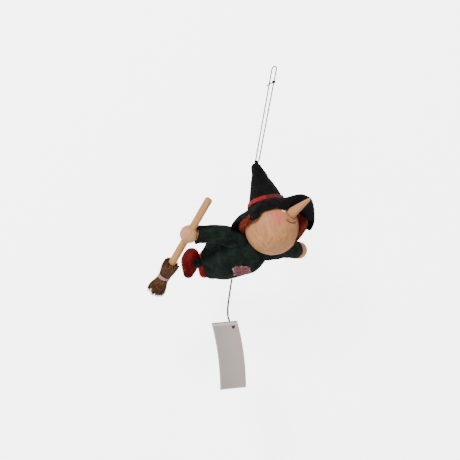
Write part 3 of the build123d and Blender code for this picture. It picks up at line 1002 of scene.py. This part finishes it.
@dataclass
class Studio:
    """The camera, a pale sweep and soft lights."""

    eye: Point = (-0.0119, -1.1, -0.1411)
    roll: float = -10.5
    lens: float = 102.7
    floor_height: float = -0.42
    wall_depth: float = 0.085
    half_width: float = 1.6
    glow: float = 4.5
    room_light: float = 0.42
    aim: Point = (0, 0, -0.14)
    lamps: tuple[Lamp, ...] = (
        Lamp("key", (-0.6, -1.0, 0.55), 0.28, 22), Lamp("fill", (0.9, -1.2, 0.1), 1.2, 3),
        Lamp("rim", (0.3, 0.9, 0.8), 0.8, 6),
    )

    def camera(self) -> None:
        """Stand the camera level in front and turn it about its own line of sight."""
        start_clean()
        bpy.ops.object.camera_add(location=self.eye, rotation=(math.radians(90), math.radians(self.roll), 0))
        camera = bpy.context.object
        camera.data.lens = self.lens
        camera.data.sensor_width = 36
        camera.data.dof.use_dof = False
        bpy.context.scene.camera = camera

    def sweep(self) -> None:
        """Lay the floor and a wall that is seen from its front only."""
        start_clean()
        bpy.ops.mesh.primitive_plane_add(size=2 * self.half_width, location=(0, 0, self.floor_height))
        floor = bpy.context.object
        floor.name = "floor"
        bpy.ops.mesh.primitive_plane_add(
            size=2 * self.half_width, location=(0, self.wall_depth, 0), rotation=(math.radians(90), 0, 0),
        )
        wall = bpy.context.object
        wall.name = "wall"
        floor.data.materials.append(PAPER.make())
        wall.data.materials.append(self.one_sided())

    def one_sided(self) -> Material:
        """Make the wall's finish, clear when it is seen or lit from behind."""
        shader = Shader("One sided backdrop")
        shader.constants(Base_Color=PAPER.colour, Roughness=PAPER.roughness)
        facing = shader.node("ShaderNodeNewGeometry").outputs["Backfacing"]
        shader.link(shader.math("SUBTRACT", 1.0, facing), shader.surface.inputs["Alpha"])
        seen = shader.node("ShaderNodeLightPath").outputs["Is Camera Ray"]
        shader.link(shader.times(seen, self.glow), shader.surface.inputs["Emission Strength"])
        shader.constants(Emission_Color=PAPER.colour)
        return shader.material

    def build(self) -> None:
        """Set the whole studio up."""
        self.camera()
        self.sweep()
        for lamp in self.lamps:
            lamp.build(self.aim)
        world = bpy.data.worlds.new("Soft white room")
        bpy.context.scene.world = world
        world.use_nodes = True
        backdrop = world.node_tree.nodes["Background"]
        backdrop.inputs["Color"].default_value = (1, 1, 1, 1)
        backdrop.inputs["Strength"].default_value = self.room_light
        LOG.info("studio made")


# ------------------------------------------------------------------ cords
@dataclass
class HangingCord:
    """The doubled black cord with its loop at the top and a knot with one loose tail."""

    diameter: float = 0.001
    length: float = 0.1637
    strand_foot: float = -0.07987
    half_loop: float = 0.0019
    knot_middle: Point = (0.0016, 0.0, -0.0125)
    tail: tuple[Point, ...] = (
        (0.0016, -0.0006, -0.0125), (-0.0018, -0.0015, -0.0151), (-0.0039, -0.0013, -0.0171),
    )
    knot_radius: float = 0.0011
    knot_turns: float = 1.75

    def strands(self) -> Piece:
        """Lay both strands and the loop as one cord."""
        half = self.diameter / 2
        foot_left, foot_right = self.strand_foot - 0.0002, self.strand_foot - 0.0004
        route = [
            (-0.0014, 0, foot_left), (-0.00189, 0, -0.006), (-self.half_loop, 0, half),
            (self.half_loop, 0, half), (0.0018, 0, -0.006), self.knot_middle, (0.0013, 0, foot_right),
        ]
        return nurbs_cord("hanging_strands", route, self.diameter)

    def knot(self) -> Piece:
        """Wind an overhand knot round the strand and lead its tail out."""
        middle = Vector(self.knot_middle)
        turns = []
        for step in range(22):
            turn = step / 21 * math.tau * self.knot_turns
            swell = 1 + 0.25 * math.sin(2 * turn)
            height = math.sin(turn * 0.9 + 0.6) * self.knot_radius * 0.8
            turns.append(middle + polar(turn, self.knot_radius * swell, height))
        return cord_mesh("hanging_knot", [*turns, *self.tail], self.diameter * 0.95)

    def build(self) -> None:
        material = BLACK_CORD.make()
        strands_piece = dress_piece(self.strands(), material, Body.CORD, ["hanging_cord"])
        knot_piece = dress_piece(self.knot(), material, Body.CORD, ["cord_knot"])


@dataclass
class TagCord:
    """The grey-brown cord from the dress down to the tag, knotted behind the hole."""

    diameter: float = 0.0015
    length: float = 0.0448
    bead_radius: float = 0.0008
    bead_cord: float = 0.0016
    route: tuple[Point, ...] = (
        (-0.0029, 0.004, -0.1814), (-0.0024, 0.005, -0.198), (-0.0014, 0.0072, -0.211),
        (0.0016, 0.009, -0.217),
    )

    def build(self, hole: Vector, back: Vector) -> None:
        """Args:
            hole: The middle of the tag's hole.
            back: The direction out of the card's back.
        """
        material = GREY_CORD.make()
        knot = hole + back * 0.0004
        end = [knot + back * 0.004 + Vector((-0.0005, 0, 0.001)), knot + back * 0.0006]
        piece = nurbs_cord("tag_string", [*self.route, *end], self.diameter)
        dress_piece(piece, material, Body.TAG_STRING, ["tag_cord"])
        bead = self.bead(knot, back)
        dress_piece(bead, material, Body.TAG_STRING, ["tag_knot"])

    def bead(self, knot: Vector, back: Vector) -> Piece:
        """Tie the small round knot in the hole from two crossing turns."""
        local = along_frame(knot, back)
        route = []
        for step in range(26):
            turn = step / 25 * math.tau * 2
            point = polar(turn, self.bead_radius, math.sin(turn * 1.5) * 0.0006)
            point.x *= 1 + 0.2 * math.cos(turn / 2)
            route.append(local @ point)
        return cord_mesh("tag_string_knot", route, self.bead_cord)


# ------------------------------------------------------------------ head, hair and hat
@dataclass
class HeadFrame:
    """Where the ball head is and which way its hat and nose point."""

    centre: Vector = field(default_factory=lambda: Vector((0.022, -0.0175, -0.133)))
    radius: float = 0.0225
    hat_axis: Vector = field(default_factory=lambda: Vector((-0.39, 0.29, 0.874)).normalized())
    nose_axis: Vector = field(default_factory=lambda: Vector((0.567, -0.515, 0.642)).normalized())

    @property
    def local(self) -> Matrix:
        """The hat frame: its origin in the ball's middle and its Z up the hat."""
        return along_frame(self.centre, self.hat_axis)

    def ring(self, turn: float, radius: float, height: float) -> Vector:
        """Find a point from its turn in degrees, its distance from the hat axis and its height."""
        return self.local @ polar(math.radians(turn), radius, height)


@dataclass
class Head:
    """The painted ball and its nose."""

    seat: HeadFrame

    def build(self) -> None:
        """Dress the ball with its face and the nose with plain wood."""
        seat = self.seat
        paint = FacePaint(
            wood=BALL_WOOD, centre=seat.centre, radius=seat.radius,
            level=seat.nose_axis.cross(seat.hat_axis).normalized(),
            blush=(0.0243, -0.0379, -0.1238), blush_radius=0.0063, blush_colour=srgb(206, 92, 84),
            nose_foot=seat.centre + seat.nose_axis * seat.radius, nose_radius=0.0048,
            # The colour of the painted shadow ring round the nose's foot.
            nose_shadow_colour=srgb(92, 52, 36),
            marks=(
                FaceMark((0.0366, -0.0330, -0.1263), 0.0064, 60.0, 0.0008, srgb(88, 34, 26), 0.95),
                # Painted shadow of the nose: the paler line just above the mouth.
                FaceMark((0.0362, -0.0345, -0.1234), 0.0050, 46.0, 0.0006, srgb(120, 74, 54), 0.6),
                FaceMark((0.0282, -0.0331, -0.1172), 0.0019, 0.0, 0.0016, srgb(240, 236, 230), 1.0, True),
                FaceMark((0.0291, -0.0324, -0.1163), 0.0009, 0.0, 0.0009, srgb(20, 16, 16), 1.0, True),
                FaceMark((0.0162, -0.0362, -0.1217), 0.0042, -30.0, 0.0005, srgb(128, 104, 88), 0.45, True),
            ),
        )
        paint_nodes(["head_ball"], paint.make(seat.local))
        paint_nodes(["nose"], BALL_WOOD.make(along_frame(seat.centre, seat.nose_axis)))
        LOG.info("head painted")


@dataclass(frozen=True)
class Tuft:
    """One tuft of hair: where it roots round the hat axis and how far it hangs."""

    name: str
    node: str
    first_turn: float
    sweep: float
    root_height: float
    swell: float
    end_radius: float
    end_height: float
    count: int


@dataclass
class Hair:
    """Coarse curly hair that shows below the brim on both sides and at the back."""

    seat: HeadFrame
    thickness: float = 0.00034
    first_seed: int = 40
    tufts: tuple[Tuft, ...] = (
        Tuft("hair_right", "right_hair", 166, 66, 0.0105, 0.0265, 0.0268, 0.0030, 430),
        Tuft("hair_left", "left_hair", -6, 54, 0.0070, 0.0282, 0.0215, -0.0155, 560),
        Tuft("hair_back", "back_hair", 50, 116, 0.0105, 0.0262, 0.0262, 0.0030, 560),
    )

    def fibre(self, tuft: Tuft, source: random.Random) -> list[Vector]:
        """Run one wavy fibre from under the brim out, round and down.

        Args:
            tuft: The tuft it belongs to.
            source: The tuft's own random numbers.

        Returns:
            The fibre's points.
        """
        turn = tuft.first_turn + tuft.sweep * source.random()
        depth = source.random() ** 0.6
        ball = self.seat.radius
        swell = ball + 0.0006 + (tuft.swell - ball) * depth
        end = ball + 0.0004 + (tuft.end_radius - ball) * depth
        wave, phase = source.uniform(0.0004, 0.0011), source.uniform(0, math.tau)
        drift, reach = source.uniform(-9, 9), source.uniform(0.72, 1.12)
        points = []
        for step in range(7):
            share = step / 6
            along = share * reach
            height = tuft.root_height + (tuft.end_height - tuft.root_height) * along
            bulge = math.sin(math.pi * min(along * 0.9 + 0.1, 1.0))
            radius = end + (swell - end) * bulge
            safe = math.sqrt(max((ball + 0.0004) ** 2 - height**2, 0))
            tight = safe + (radius - ball) * (0.5 + 0.5 * bulge)
            ripple = wave * math.sin(phase + share * 8)
            spot = self.seat.ring(turn + drift * share, tight + ripple, height)
            points.append(spot + Vector((0, 0, wave * math.cos(phase + share * 7) * share)))
        return points

    def build(self) -> None:
        """Make every tuft."""
        material = HAIR.make()
        for number, tuft in enumerate(self.tufts):
            source = random.Random(self.first_seed + number)
            lines = [self.fibre(tuft, source) for _ in range(tuft.count)]
            piece = strands(tuft.name, lines, self.thickness, 0.35)
            dress_piece(piece, material, Body.FIGURE, [tuft.node])


@dataclass
class Hat:
    """A felt cone on a limp felt brim, with a ribbon round its foot."""

    seat: HeadFrame
    felt: float = 0.0012
    ribbon: float = 0.0004
    cone: tuple[tuple[float, float], ...] = (
        (15.5, 19.6), (15.1, 22.0), (14.4, 24.5), (13.6, 27.0), (12.7, 29.7), (11.8, 32.4), (10.9, 35.0),
        (10.0, 37.6), (9.0, 40.2), (8.0, 42.8), (7.0, 45.4), (6.2, 48.0), (5.5, 50.6), (4.9, 53.0),
        (4.3, 55.2), (3.4, 57.0), (2.0, 58.1), (0.8, 58.5),
    )
    brim: tuple[tuple[float, ...], ...] = (
        (-4, 24, 13, 45, 33, 31.0, -1.5), (9, 24, 13, 46, 34, 35.0, -3.5), (21, 23, 14, 44, 32, 31.5, -6.5),
        (48, 21, 17, 34, 26, 31.0, 6.0), (90, 18, 19, 25, 21, 28.0, 12.0), (128, 18, 18, 25, 18, 30.5, 9.0),
        (155, 18, 15, 27, 15, 33.0, 3.0), (180, 19, 14, 27, 15, 34.5, 5.0),
        (196, 18, 15, 26, 16, 32.5, 7.2), (210, 17, 16, 23, 16, 27.2, 9.0),
        (224, 17, 16, 22, 15, 26.4, 7.0), (241, 17, 17, 23, 15, 26.8, 3.6),
        (249, 17, 18, 22, 17, 24.0, 4.4), (257, 17, 19, 21, 18, 22.6, 8.0),
        (276, 17, 18.5, 21, 18, 22.6, 8.8), (299, 17, 18.5, 21.5, 17, 22.6, 7.9),
        (310, 17, 18, 23, 17, 24.0, 6.9), (322, 18, 18, 23, 20, 24.8, 10.6),
        (341, 21, 15, 38, 30, 27.5, 3.0),
    )
    band_foot: float = 0.0200
    band_width: float = 0.0040
    flat: tuple[float, float] = (0.088, 0.066)

    def make_cone(self) -> Piece:
        """Raise the cone, crease it at two thirds of its height and pucker its back seam."""
        piece = lathe("hat_crown", [(r * MM_TO_M, h * MM_TO_M) for r, h in self.cone], 72, "end")

        def rumple(point: Vector) -> Vector:
            """Crease, fold and lean the cone."""
            turn = math.atan2(point.y, point.x)
            crease = math.exp(-((point.z - 0.0435 + 0.0012 * math.cos(turn)) / 0.0012) ** 2)
            fold = math.exp(-((point.z - 0.0335 - 0.003 * math.cos(turn - 0.7)) / 0.0016) ** 2)
            lumps = noise.noise(point * 130) * 0.0006 + noise.noise(point * 320) * 0.00025
            seam = math.exp(-((math.degrees(turn) - 118) / 5) ** 2) * 0.0005
            shift = lumps + seam - 0.0007 * crease * max(math.cos(turn - 0.2), 0) - 0.0004 * fold
            lean = smooth_step((point.z - 0.046) / 0.012) * 0.0008
            return point + outward_of(point) * shift + Vector((-lean, 0, 0))

        return sew(piece, rumple, self.seat.local, self.felt)

    def make_brim(self) -> Piece:
        """Drape the brim: each turn has its own bend and edge, with small ripples between them."""
        rings = 16
        inner, outer = 0.0148, 0.034
        stations = [(inner + (outer - inner) * k / rings, 0.0) for k in range(rings + 1)]
        piece = lathe("hat_brim_felt", stations, 144)

        def drape(point: Vector) -> Vector:
            """Bend one spot of the flat felt along its turn's curve, and keep it off the ball."""
            flat_radius = math.hypot(point.x, point.y)
            share = (flat_radius - inner) / (outer - inner)
            turn = math.atan2(point.y, point.x)
            values = periodic(self.brim, math.degrees(turn))
            dip, peak, edge = Vector(values[0:2]), Vector(values[2:4]), Vector(values[4:6])
            rest = 1 - share
            spot = (
                Vector((14.8, 19.9)) * rest**3 + dip * 3 * share * rest**2
                + peak * 3 * share**2 * rest + edge * share**3
            )
            ripple = 0.4 * share * math.sin(13 * turn + 1.5 * math.sin(2 * turn))
            lump = noise.noise(Vector((point.x, point.y, 0.3)) * 160) * 0.7 * share
            radius, height = spot.x + ripple * 0.6 + lump * 0.5, spot.y + ripple + lump
            clear = self.seat.radius / MM_TO_M + 1.0
            length = math.hypot(radius, height)
            if length < clear:
                radius, height = radius * clear / length, height * clear / length
            return polar(turn, radius, height) * MM_TO_M

        return sew(piece, drape, self.seat.local, self.felt, 0.0)

    def make_band(self) -> Piece:
        """Wrap the ribbon, with its end lapped over at the front."""
        foot, top = self.band_foot, self.band_foot + self.band_width
        stations = [
            (0.0159, foot), (0.01565, (foot * 2 + top) / 3), (0.0153, (foot + top * 2) / 3), (0.0150, top),
        ]
        piece = lathe("hat_ribbon", stations, 144)

        def lap(point: Vector) -> Vector:
            """Raise the lapped end and let the ribbon follow the felt."""
            turn = math.degrees(math.atan2(point.y, point.x))
            over = smooth_step((turn + 106) / 3) * smooth_step((-86 - turn) / 1.5)
            lumps = noise.noise(point * 130) * 0.0004
            return point + outward_of(point) * (self.ribbon * over + lumps)

        return sew(piece, lap, self.seat.local, self.ribbon, 1.0, 50)

    def make_eyelet(self) -> Piece:
        """Gather the very tip into a stitched nub where the strands come out."""
        start_clean()
        bpy.ops.mesh.primitive_uv_sphere_add(segments=24, ring_count=12, radius=0.0019)
        piece = bpy.context.object
        piece.name = "hat_tip_nub"
        middle = self.seat.ring(0, 0, 0.0588) + Vector((0.0004, 0, 0.0006))
        place(piece, Matrix.Translation(middle) @ Matrix.Diagonal((1.0, 0.8, 0.75, 1)))
        soften(piece, 80)
        return piece

    def build(self) -> None:
        felt = BLACK_FELT.make()
        dress_piece(self.make_cone(), felt, Body.FIGURE, ["hat_cone", "hat_stuffing"])
        brim = dress_piece(self.make_brim(), felt, Body.FIGURE, ["hat_brim"])
        dress_piece(self.make_band(), HAT_RIBBON.make(self.seat.local), Body.FIGURE, ["hat_band"])
        dress_piece(self.make_eyelet(), felt, Body.FIGURE)


# ------------------------------------------------------------------ dress, patches, sleeves and legs
@dataclass
class Dress:
    """The stuffed felt body, open at its hem round a sunk felt base."""

    seat: HeadFrame
    hem_centre: Vector = field(default_factory=lambda: Vector((-0.024, 0.015, -0.1695)))
    facing: Vector = field(default_factory=lambda: Vector((0.828, -0.45, 0.335)).normalized())
    hem_tip: float = 8.0
    hem_ease: float = 0.034
    belly: Vector = field(default_factory=lambda: Vector((0.013, -0.012, -0.170)))
    belly_reach: float = 0.017
    belly_sag: Point = (0.2, -0.15, -0.95)
    sag_depth: float = 0.0032
    outline: tuple[tuple[float, float], ...] = (
        (1.2, 3.4), (5.0, 3.3), (9.5, 3.1), (13.2, 2.9), (14.0, 2.3), (14.3, 1.1), (14.7, 0.2),
        (15.3, -0.1), (15.9, 0.3), (16.1, 1.6), (16.5, 4.2), (17.1, 7.4), (17.7, 10.8), (18.2, 14.2),
        (18.5, 17.8), (18.7, 21.4), (18.7, 25.0), (18.4, 28.6), (17.7, 32.2), (16.6, 35.8), (15.3, 39.4),
        (13.7, 43.0), (11.8, 46.4), (9.7, 49.6), (7.4, 52.4), (5.0, 54.6), (2.4, 55.8),
    )

    @property
    def local(self) -> Matrix:
        """The dress frame: its origin in the hem's middle and its Z towards the neck."""
        return along_frame(self.hem_centre, self.facing)

    def build(self) -> Piece:
        """Make the body with soft lumps and gathers, and press it off the head."""
        piece = lathe("dress_body", [(r * MM_TO_M, h * MM_TO_M) for r, h in self.outline], 96, "both")

        def rumple(point: Vector) -> Vector:
            """Lump the felt, gather it at the neck and wave its hem, outside the sunk base."""
            turn = math.atan2(point.y, point.x)
            reach = smooth_step((Vector((point.x, point.y, 0)).length - 0.0135) / 0.002)
            lumps = noise.noise(point * 75 + Vector((3, 1, 7))) * 0.0013 + noise.noise(point * 190) * 0.0005
            neck = smooth_step((point.z - 0.034) / 0.016)
            gathers = neck * 0.0006 * math.sin(11 * turn + 2 * math.sin(3 * turn))
            hem = (1 - smooth_step(point.z / 0.007)) * 0.0005 * math.sin(5 * turn + 1.2)
            seam = math.exp(-((math.degrees(turn) - 60) / 2.5) ** 2) * -0.0005
            shift = outward_of(point) * reach * (lumps + gathers + seam)
            return point + shift + Vector((0, 0, hem * reach))

        shape(piece, rumple)
        place(piece, self.local)

        def tip_hem(point: Vector) -> Vector:
            """Tip the hem about its middle and let the belly sag."""
            offset = point - self.hem_centre
            share = 1 - smooth_step((offset.dot(self.facing) + 0.002) / self.hem_ease)
            tipped = Matrix.Rotation(math.radians(self.hem_tip) * share, 3, "Y") @ offset
            sag = self.sag_depth * (1 - smooth_step((point - self.belly).length / self.belly_reach))
            return self.hem_centre + tipped + Vector(self.belly_sag) * sag

        shape(piece, tip_hem)

        def clear_of_head(point: Vector) -> Vector:
            """Press the felt off the ball."""
            offset = point - self.seat.centre
            room = self.seat.radius + 0.0002
            return self.seat.centre + offset.normalized() * room if offset.length < room else point

        shape(piece, clear_of_head)
        round_over(piece)
        dress_piece(piece, GREEN_FELT.make(), Body.FIGURE, ["dress", "dress_base", "stuffing"])
        return piece


@dataclass(frozen=True)
class Patch:
    """A scrap of check cloth sewn on the dress with frayed edges."""

    name: str
    node: str
    centre: Vector
    facing: Vector
    width: float
    height: float
    turn: float
    cloth: Plaid
    lift: float = 0.0003
    thickness: float = 0.0004
    threads: int = 110
    thread_radius: float = 0.00011

    def frame_at(self) -> Matrix:
        """The patch frame: its Z away from the dress, its X along the cloth's width."""
        facing = self.facing.normalized()
        return along_frame(self.centre, facing) @ Matrix.Rotation(math.radians(self.turn), 4, "Z")

    def build(self, under: Piece) -> None:
        """Lay a fine grid on the dress, trim it unevenly and add loose threads.

        Args:
            under: The dress that it lies on.
        """
        local = self.frame_at()
        facing = self.facing.normalized()
        tree = BVHTree.FromPolygons(
            [vertex.co for vertex in under.data.vertices],
            [polygon.vertices for polygon in under.data.polygons],
        )

        def on_dress(point: Vector, lift: float) -> Vector:
            """Drop a point onto the dress, and hold it a little above."""
            hit = tree.ray_cast(point + facing * 0.03, -facing)[0]
            return (hit if hit else point) + facing * lift

        start_clean()
        bpy.ops.mesh.primitive_grid_add(x_subdivisions=26, y_subdivisions=20, size=1)
        piece = bpy.context.object
        piece.name = self.name

        def trim(point: Vector) -> Vector:
            """Size the grid to the cloth, with an uneven edge."""
            ragged = 1 + 0.07 * noise.noise(Vector((point.x * 4, point.y * 4, self.turn)))
            return Vector((point.x * self.width * ragged, point.y * self.height * ragged, 0))

        shape(piece, trim)
        place(piece, local)
        shape(piece, lambda point: on_dress(point, self.lift + 0.0001 * noise.noise(point * 900)))
        modify(piece, "SOLIDIFY", thickness=self.thickness, offset=0.0)
        soften(piece)
        dress_piece(piece, self.cloth.make(local), Body.FIGURE, [self.node])
        source = random.Random(int(self.turn) + 5)
        lines = []
        for number in range(self.threads):
            side = number % 4
            along = source.uniform(-0.5, 0.5)
            edge = Vector(((0.49, along), (-0.49, along), (along, 0.49), (along, -0.49))[side])
            out = Vector(((1, 0), (-1, 0), (0, 1), (0, -1))[side])
            reach = source.uniform(0.0005, 0.0014)
            slant = source.uniform(-0.4, 0.4)
            line = []
            for step in range(3):
                share = step / 2 * reach
                spot = Vector((
                    edge.x * self.width + (out.x + slant * out.y) * share,
                    edge.y * self.height + (out.y + slant * out.x) * share, 0,
                ))
                line.append(on_dress(local @ spot, self.lift + 0.00015))
            lines.append(line)
        fray = strands(f"{self.name}_fray", lines, self.thread_radius, 0.6)
        dress_piece(fray, THREAD.make(), Body.FIGURE)


@dataclass(frozen=True)
class Arm:
    """A stuffed felt sleeve on its wire, with a wooden forearm and a ball hand."""

    side: Side
    shoulder: Vector
    cuff: Vector
    arch: float
    outline: tuple[tuple[float, float], ...] = (
        (3.0, -0.22), (6.4, -0.18), (8.2, -0.10), (8.8, 0.0), (8.9, 0.09), (8.8, 0.18), (8.6, 0.27),
        (8.4, 0.36), (8.2, 0.45), (8.1, 0.54), (7.9, 0.63), (7.7, 0.72), (7.5, 0.81), (7.35, 0.88),
        (7.3, 0.93), (7.3, 0.96), (7.2, 0.985), (6.8, 1.0), (6.3, 0.99), (6.0, 0.95), (4.6, 0.90),
    )

    def build(self) -> None:
        """Make the sleeve and shape it with lumps, wrinkles and an arch."""
        reach = self.cuff - self.shoulder
        length, line = reach.length, reach.normalized()
        local = along_frame(self.shoulder, reach)
        stations = [(r * MM_TO_M, share * length) for r, share in self.outline]
        piece = lathe(f"{self.side.value}_sleeve_felt", stations, 56, "first")
        arch_line = (Vector((0, 0, 1)) - line * line.z).normalized()
        arch_local = local.to_3x3().inverted() @ arch_line

        def rumple(point: Vector) -> Vector:
            """Lump, wrinkle and arch the sleeve, and wave its cuff."""
            share = point.z / length
            turn = math.atan2(point.y, point.x)
            outward = outward_of(point)
            lumps = noise.noise(point * 110 + self.shoulder * 50) * 0.0009 + noise.noise(point * 260) * 0.0004
            cuff = smooth_step((share - 0.86) / 0.12) * 0.00045 * math.sin(4 * turn + 0.8)
            wrinkle = 0.0004 * math.sin(share * 34 + 2 * math.sin(turn)) * max(-outward.dot(arch_local), 0)
            lift = self.arch * math.sin(math.pi * min(max(share, 0.0), 1.0) ** 0.85)
            return point + outward * (lumps + cuff + wrinkle) + arch_local * lift

        sew(piece, rumple, local)
        dress_piece(piece, GREEN_FELT.make(), None, [f"{self.side.value}_sleeve"])
        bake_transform(piece)


@dataclass(frozen=True)
class Leg:
    """A short felt tube from the hem to the shoe."""

    side: Side
    hip: Vector
    end: Vector
    radius: float = 0.0037

    def build(self) -> None:
        """Make the tube with a rounded end."""
        line = self.end - self.hip
        length = line.length
        shares = (
            (0.55, -0.16), (0.95, -0.08), (1.0, 0.06), (1.02, 0.22), (0.98, 0.4), (1.0, 0.58), (1.04, 0.74),
            (1.05, 0.86), (0.92, 0.95), (0.6, 1.0),
        )
        stations = [(r * self.radius, share * length) for r, share in shares]
        piece = lathe(f"{self.side.value}_leg_felt", stations, 40, "both")

        def rumple(point: Vector) -> Vector:
            """Lump the felt softly."""
            return point + outward_of(point) * (noise.noise(point * 240 + self.hip * 60) * 0.0006)

        sew(piece, rumple, along_frame(self.hip, line))
        dress_piece(piece, GREEN_FELT.make(), None, [f"{self.side.value}_leg"])
        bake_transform(piece)


# ------------------------------------------------------------------ broom
@dataclass
class Broom:
    """A dowel with a bound bunch of bristles."""

    hand: Vector = field(default_factory=lambda: Vector((-0.0446, -0.0208, -0.1506)))
    line: Vector = field(default_factory=lambda: Vector((0.311, -0.454, 0.835)).normalized())
    top: float = -0.0315
    tie: float = -0.0465
    end: float = -0.0640
    stick_end: float = -0.052
    count: int = 520
    bristle_radius: float = 0.00038
    string_radius: float = 0.0049
    string_turns: float = 3.1
    string_diameter: float = 0.0009
    seed: int = 11

    @property
    def local(self) -> Matrix:
        """The broom frame: its origin in the hand and its Z up the stick."""
        return along_frame(self.hand, self.line)

    def radius_at(self, height: float, depth: float) -> float:
        """The bunch's radius at a height, for a fibre at a share of its depth."""
        if height > self.tie:
            share = (height - self.tie) / (self.top - self.tie)
            wide = 0.0042 + 0.0024 * math.sin(min(share * 1.15, 1.0) * math.pi / 2)
            core = 0.0033
        else:
            share = (self.tie - height) / (self.tie - self.end)
            wide = 0.0042 + 0.0034 * smooth_step(share * 1.2)
            core = 0.0033 * (1 - smooth_step((self.stick_end + 0.001 - height) / 0.004))
        return core + (wide - core) * depth

    def build(self) -> None:
        """Make the bristles and their string."""
        source = random.Random(self.seed)
        local = self.local
        lines = []
        for _ in range(self.count):
            turn = source.uniform(0, math.tau)
            depth = source.random() ** 0.45
            high = self.top + source.uniform(-0.0045, 0.0012)
            notch = 0.002 if abs(math.sin(turn + 0.5)) < 0.12 else 0
            low = self.end + source.uniform(-0.0008, 0.0042) + notch
            sway, phase = source.uniform(0.0002, 0.0006), source.uniform(0, math.tau)
            line = []
            for step in range(9):
                height = high + (low - high) * step / 8
                angle = turn + 0.25 * math.sin(phase + step * 0.6) * abs(height - self.tie) / 0.016
                radius = self.radius_at(height, depth) + sway * math.sin(phase + step) * 0.6
                line.append(local @ polar(angle, radius, height))
            lines.append(line)
        piece = strands("broom_bristles", lines, self.bristle_radius, 0.6)
        dress_piece(piece, BRISTLE.make(local), Body.BROOM, ["bristles"])
        self.string(local)

    def string(self, local: Matrix) -> None:
        """Wind three turns of string round the neck and tuck in its end."""
        route = []
        for step in range(49):
            turn = step / 48 * math.tau * self.string_turns
            height = self.tie - 0.0014 + 0.0029 * step / 48 + 0.0003 * math.sin(turn * 1.3)
            radius = self.string_radius + 0.0002 * math.sin(turn * 0.7)
            route.append(local @ polar(turn, radius, height))
        piece = cord_mesh("broom_string", route, self.string_diameter)
        dress_piece(piece, STRING.make(local), Body.BROOM, ["binding"])


# ------------------------------------------------------------------ parts that keep their CAD shape
@dataclass
class TurnedParts:
    """The wooden, wire and card parts, which keep their CAD shape and get their finishes here."""

    broom: Broom
    card_width: float = 0.0225
    card_length: float = 0.056

    def build(self, tag_local: Matrix) -> None:
        """Dress every one of them.

        Args:
            tag_local: The card's frame, X across, Y down and Z out of its back.
        """
        paint_nodes(["broomstick"], STICK_WOOD.make(self.broom.local))
        for side in Side:
            hand = node_centre(f"{side.value}_hand")
            shoulder = joint_point(f"{side.value}_shoulder")
            grain = along_frame(hand, hand - shoulder)
            paint_nodes([f"{side.value}_hand"], HAND_WOOD.make(along_frame(hand, Vector((0.2, 0.1, 1)))))
            paint_nodes([f"{side.value}_forearm"], STICK_WOOD.make(grain))
        for name, wood, grain in (
            ("neck_dowel", STICK_WOOD, (-0.427, 0.48, -0.765)),
            # The far shoe gets the lighter copy of the shoe stain, which is painted light.
            ("right_shoe", RED_WOOD, (0, 0, 1)), ("left_shoe", LIT_SHOE_WOOD, (0, 0, 1)),
        ):
            paint_nodes([name], wood.make(along_frame(node_centre(name), Vector(grain))))
        paint_nodes(["armature", "right_arm_wire", "left_arm_wire", "hem_weight"], WIRE.make())
        card = Card(
            # The card's shaded grey, lit grey and pale edge colour.
            "Warm grey card", srgb(158, 150, 146), srgb(176, 160, 156), srgb(202, 190, 176),
            self.card_width, self.card_length,
        )
        paint_nodes(["tag_back_leaf", "tag_front_leaf"], card.make(tag_local))
        LOG.info("turned parts dressed")


def main() -> None:
    """Build the studio and then the witch, from the cord down to the tag."""
    Studio().build()
    seat = HeadFrame()
    HangingCord().build()
    Head(seat).build()
    Hair(seat).build()
    Hat(seat).build()
    dress_body = Dress(seat).build()
    Patch(
        "front_check", "front_patch", Vector((0.0046, -0.013, -0.1752)), Vector((0.15, -0.75, -0.64)),
        0.0130, 0.0095, 8, FRONT_PLAID,
    ).build(dress_body)
    Patch(
        "back_check", "back_patch", Vector((-0.020, 0.020, -0.152)), Vector((-0.3, 0.25, 0.92)),
        0.0120, 0.0100, 30, BACK_PLAID,
    ).build(dress_body)
    Arm(Side.RIGHT, joint_point("right_shoulder"), Vector((-0.0388, -0.0193, -0.1499)), 0.0028).build()
    Arm(Side.LEFT, joint_point("left_shoulder"), Vector((0.0482, 0.0395, -0.1477)), 0.001).build()
    Leg(Side.RIGHT, joint_point("right_hip"), Vector((-0.0378, 0.0086, -0.1747))).build()
    Leg(Side.LEFT, joint_point("left_hip"), Vector((-0.0256, 0.0300, -0.1708))).build()
    broom = Broom()
    broom.build()
    hole = joint_point("tag_swing")
    back = joint_axis("tag_swing")
    across = -joint_axis("tag_open")
    down = back.cross(across)
    corner = hole - across * 0.018 - down * 0.005 + back * 0.0017
    TurnedParts(broom).build(axes_frame(corner, across, down, back))
    TagCord().build(hole, back)


if __name__ == "__main__":
    main()
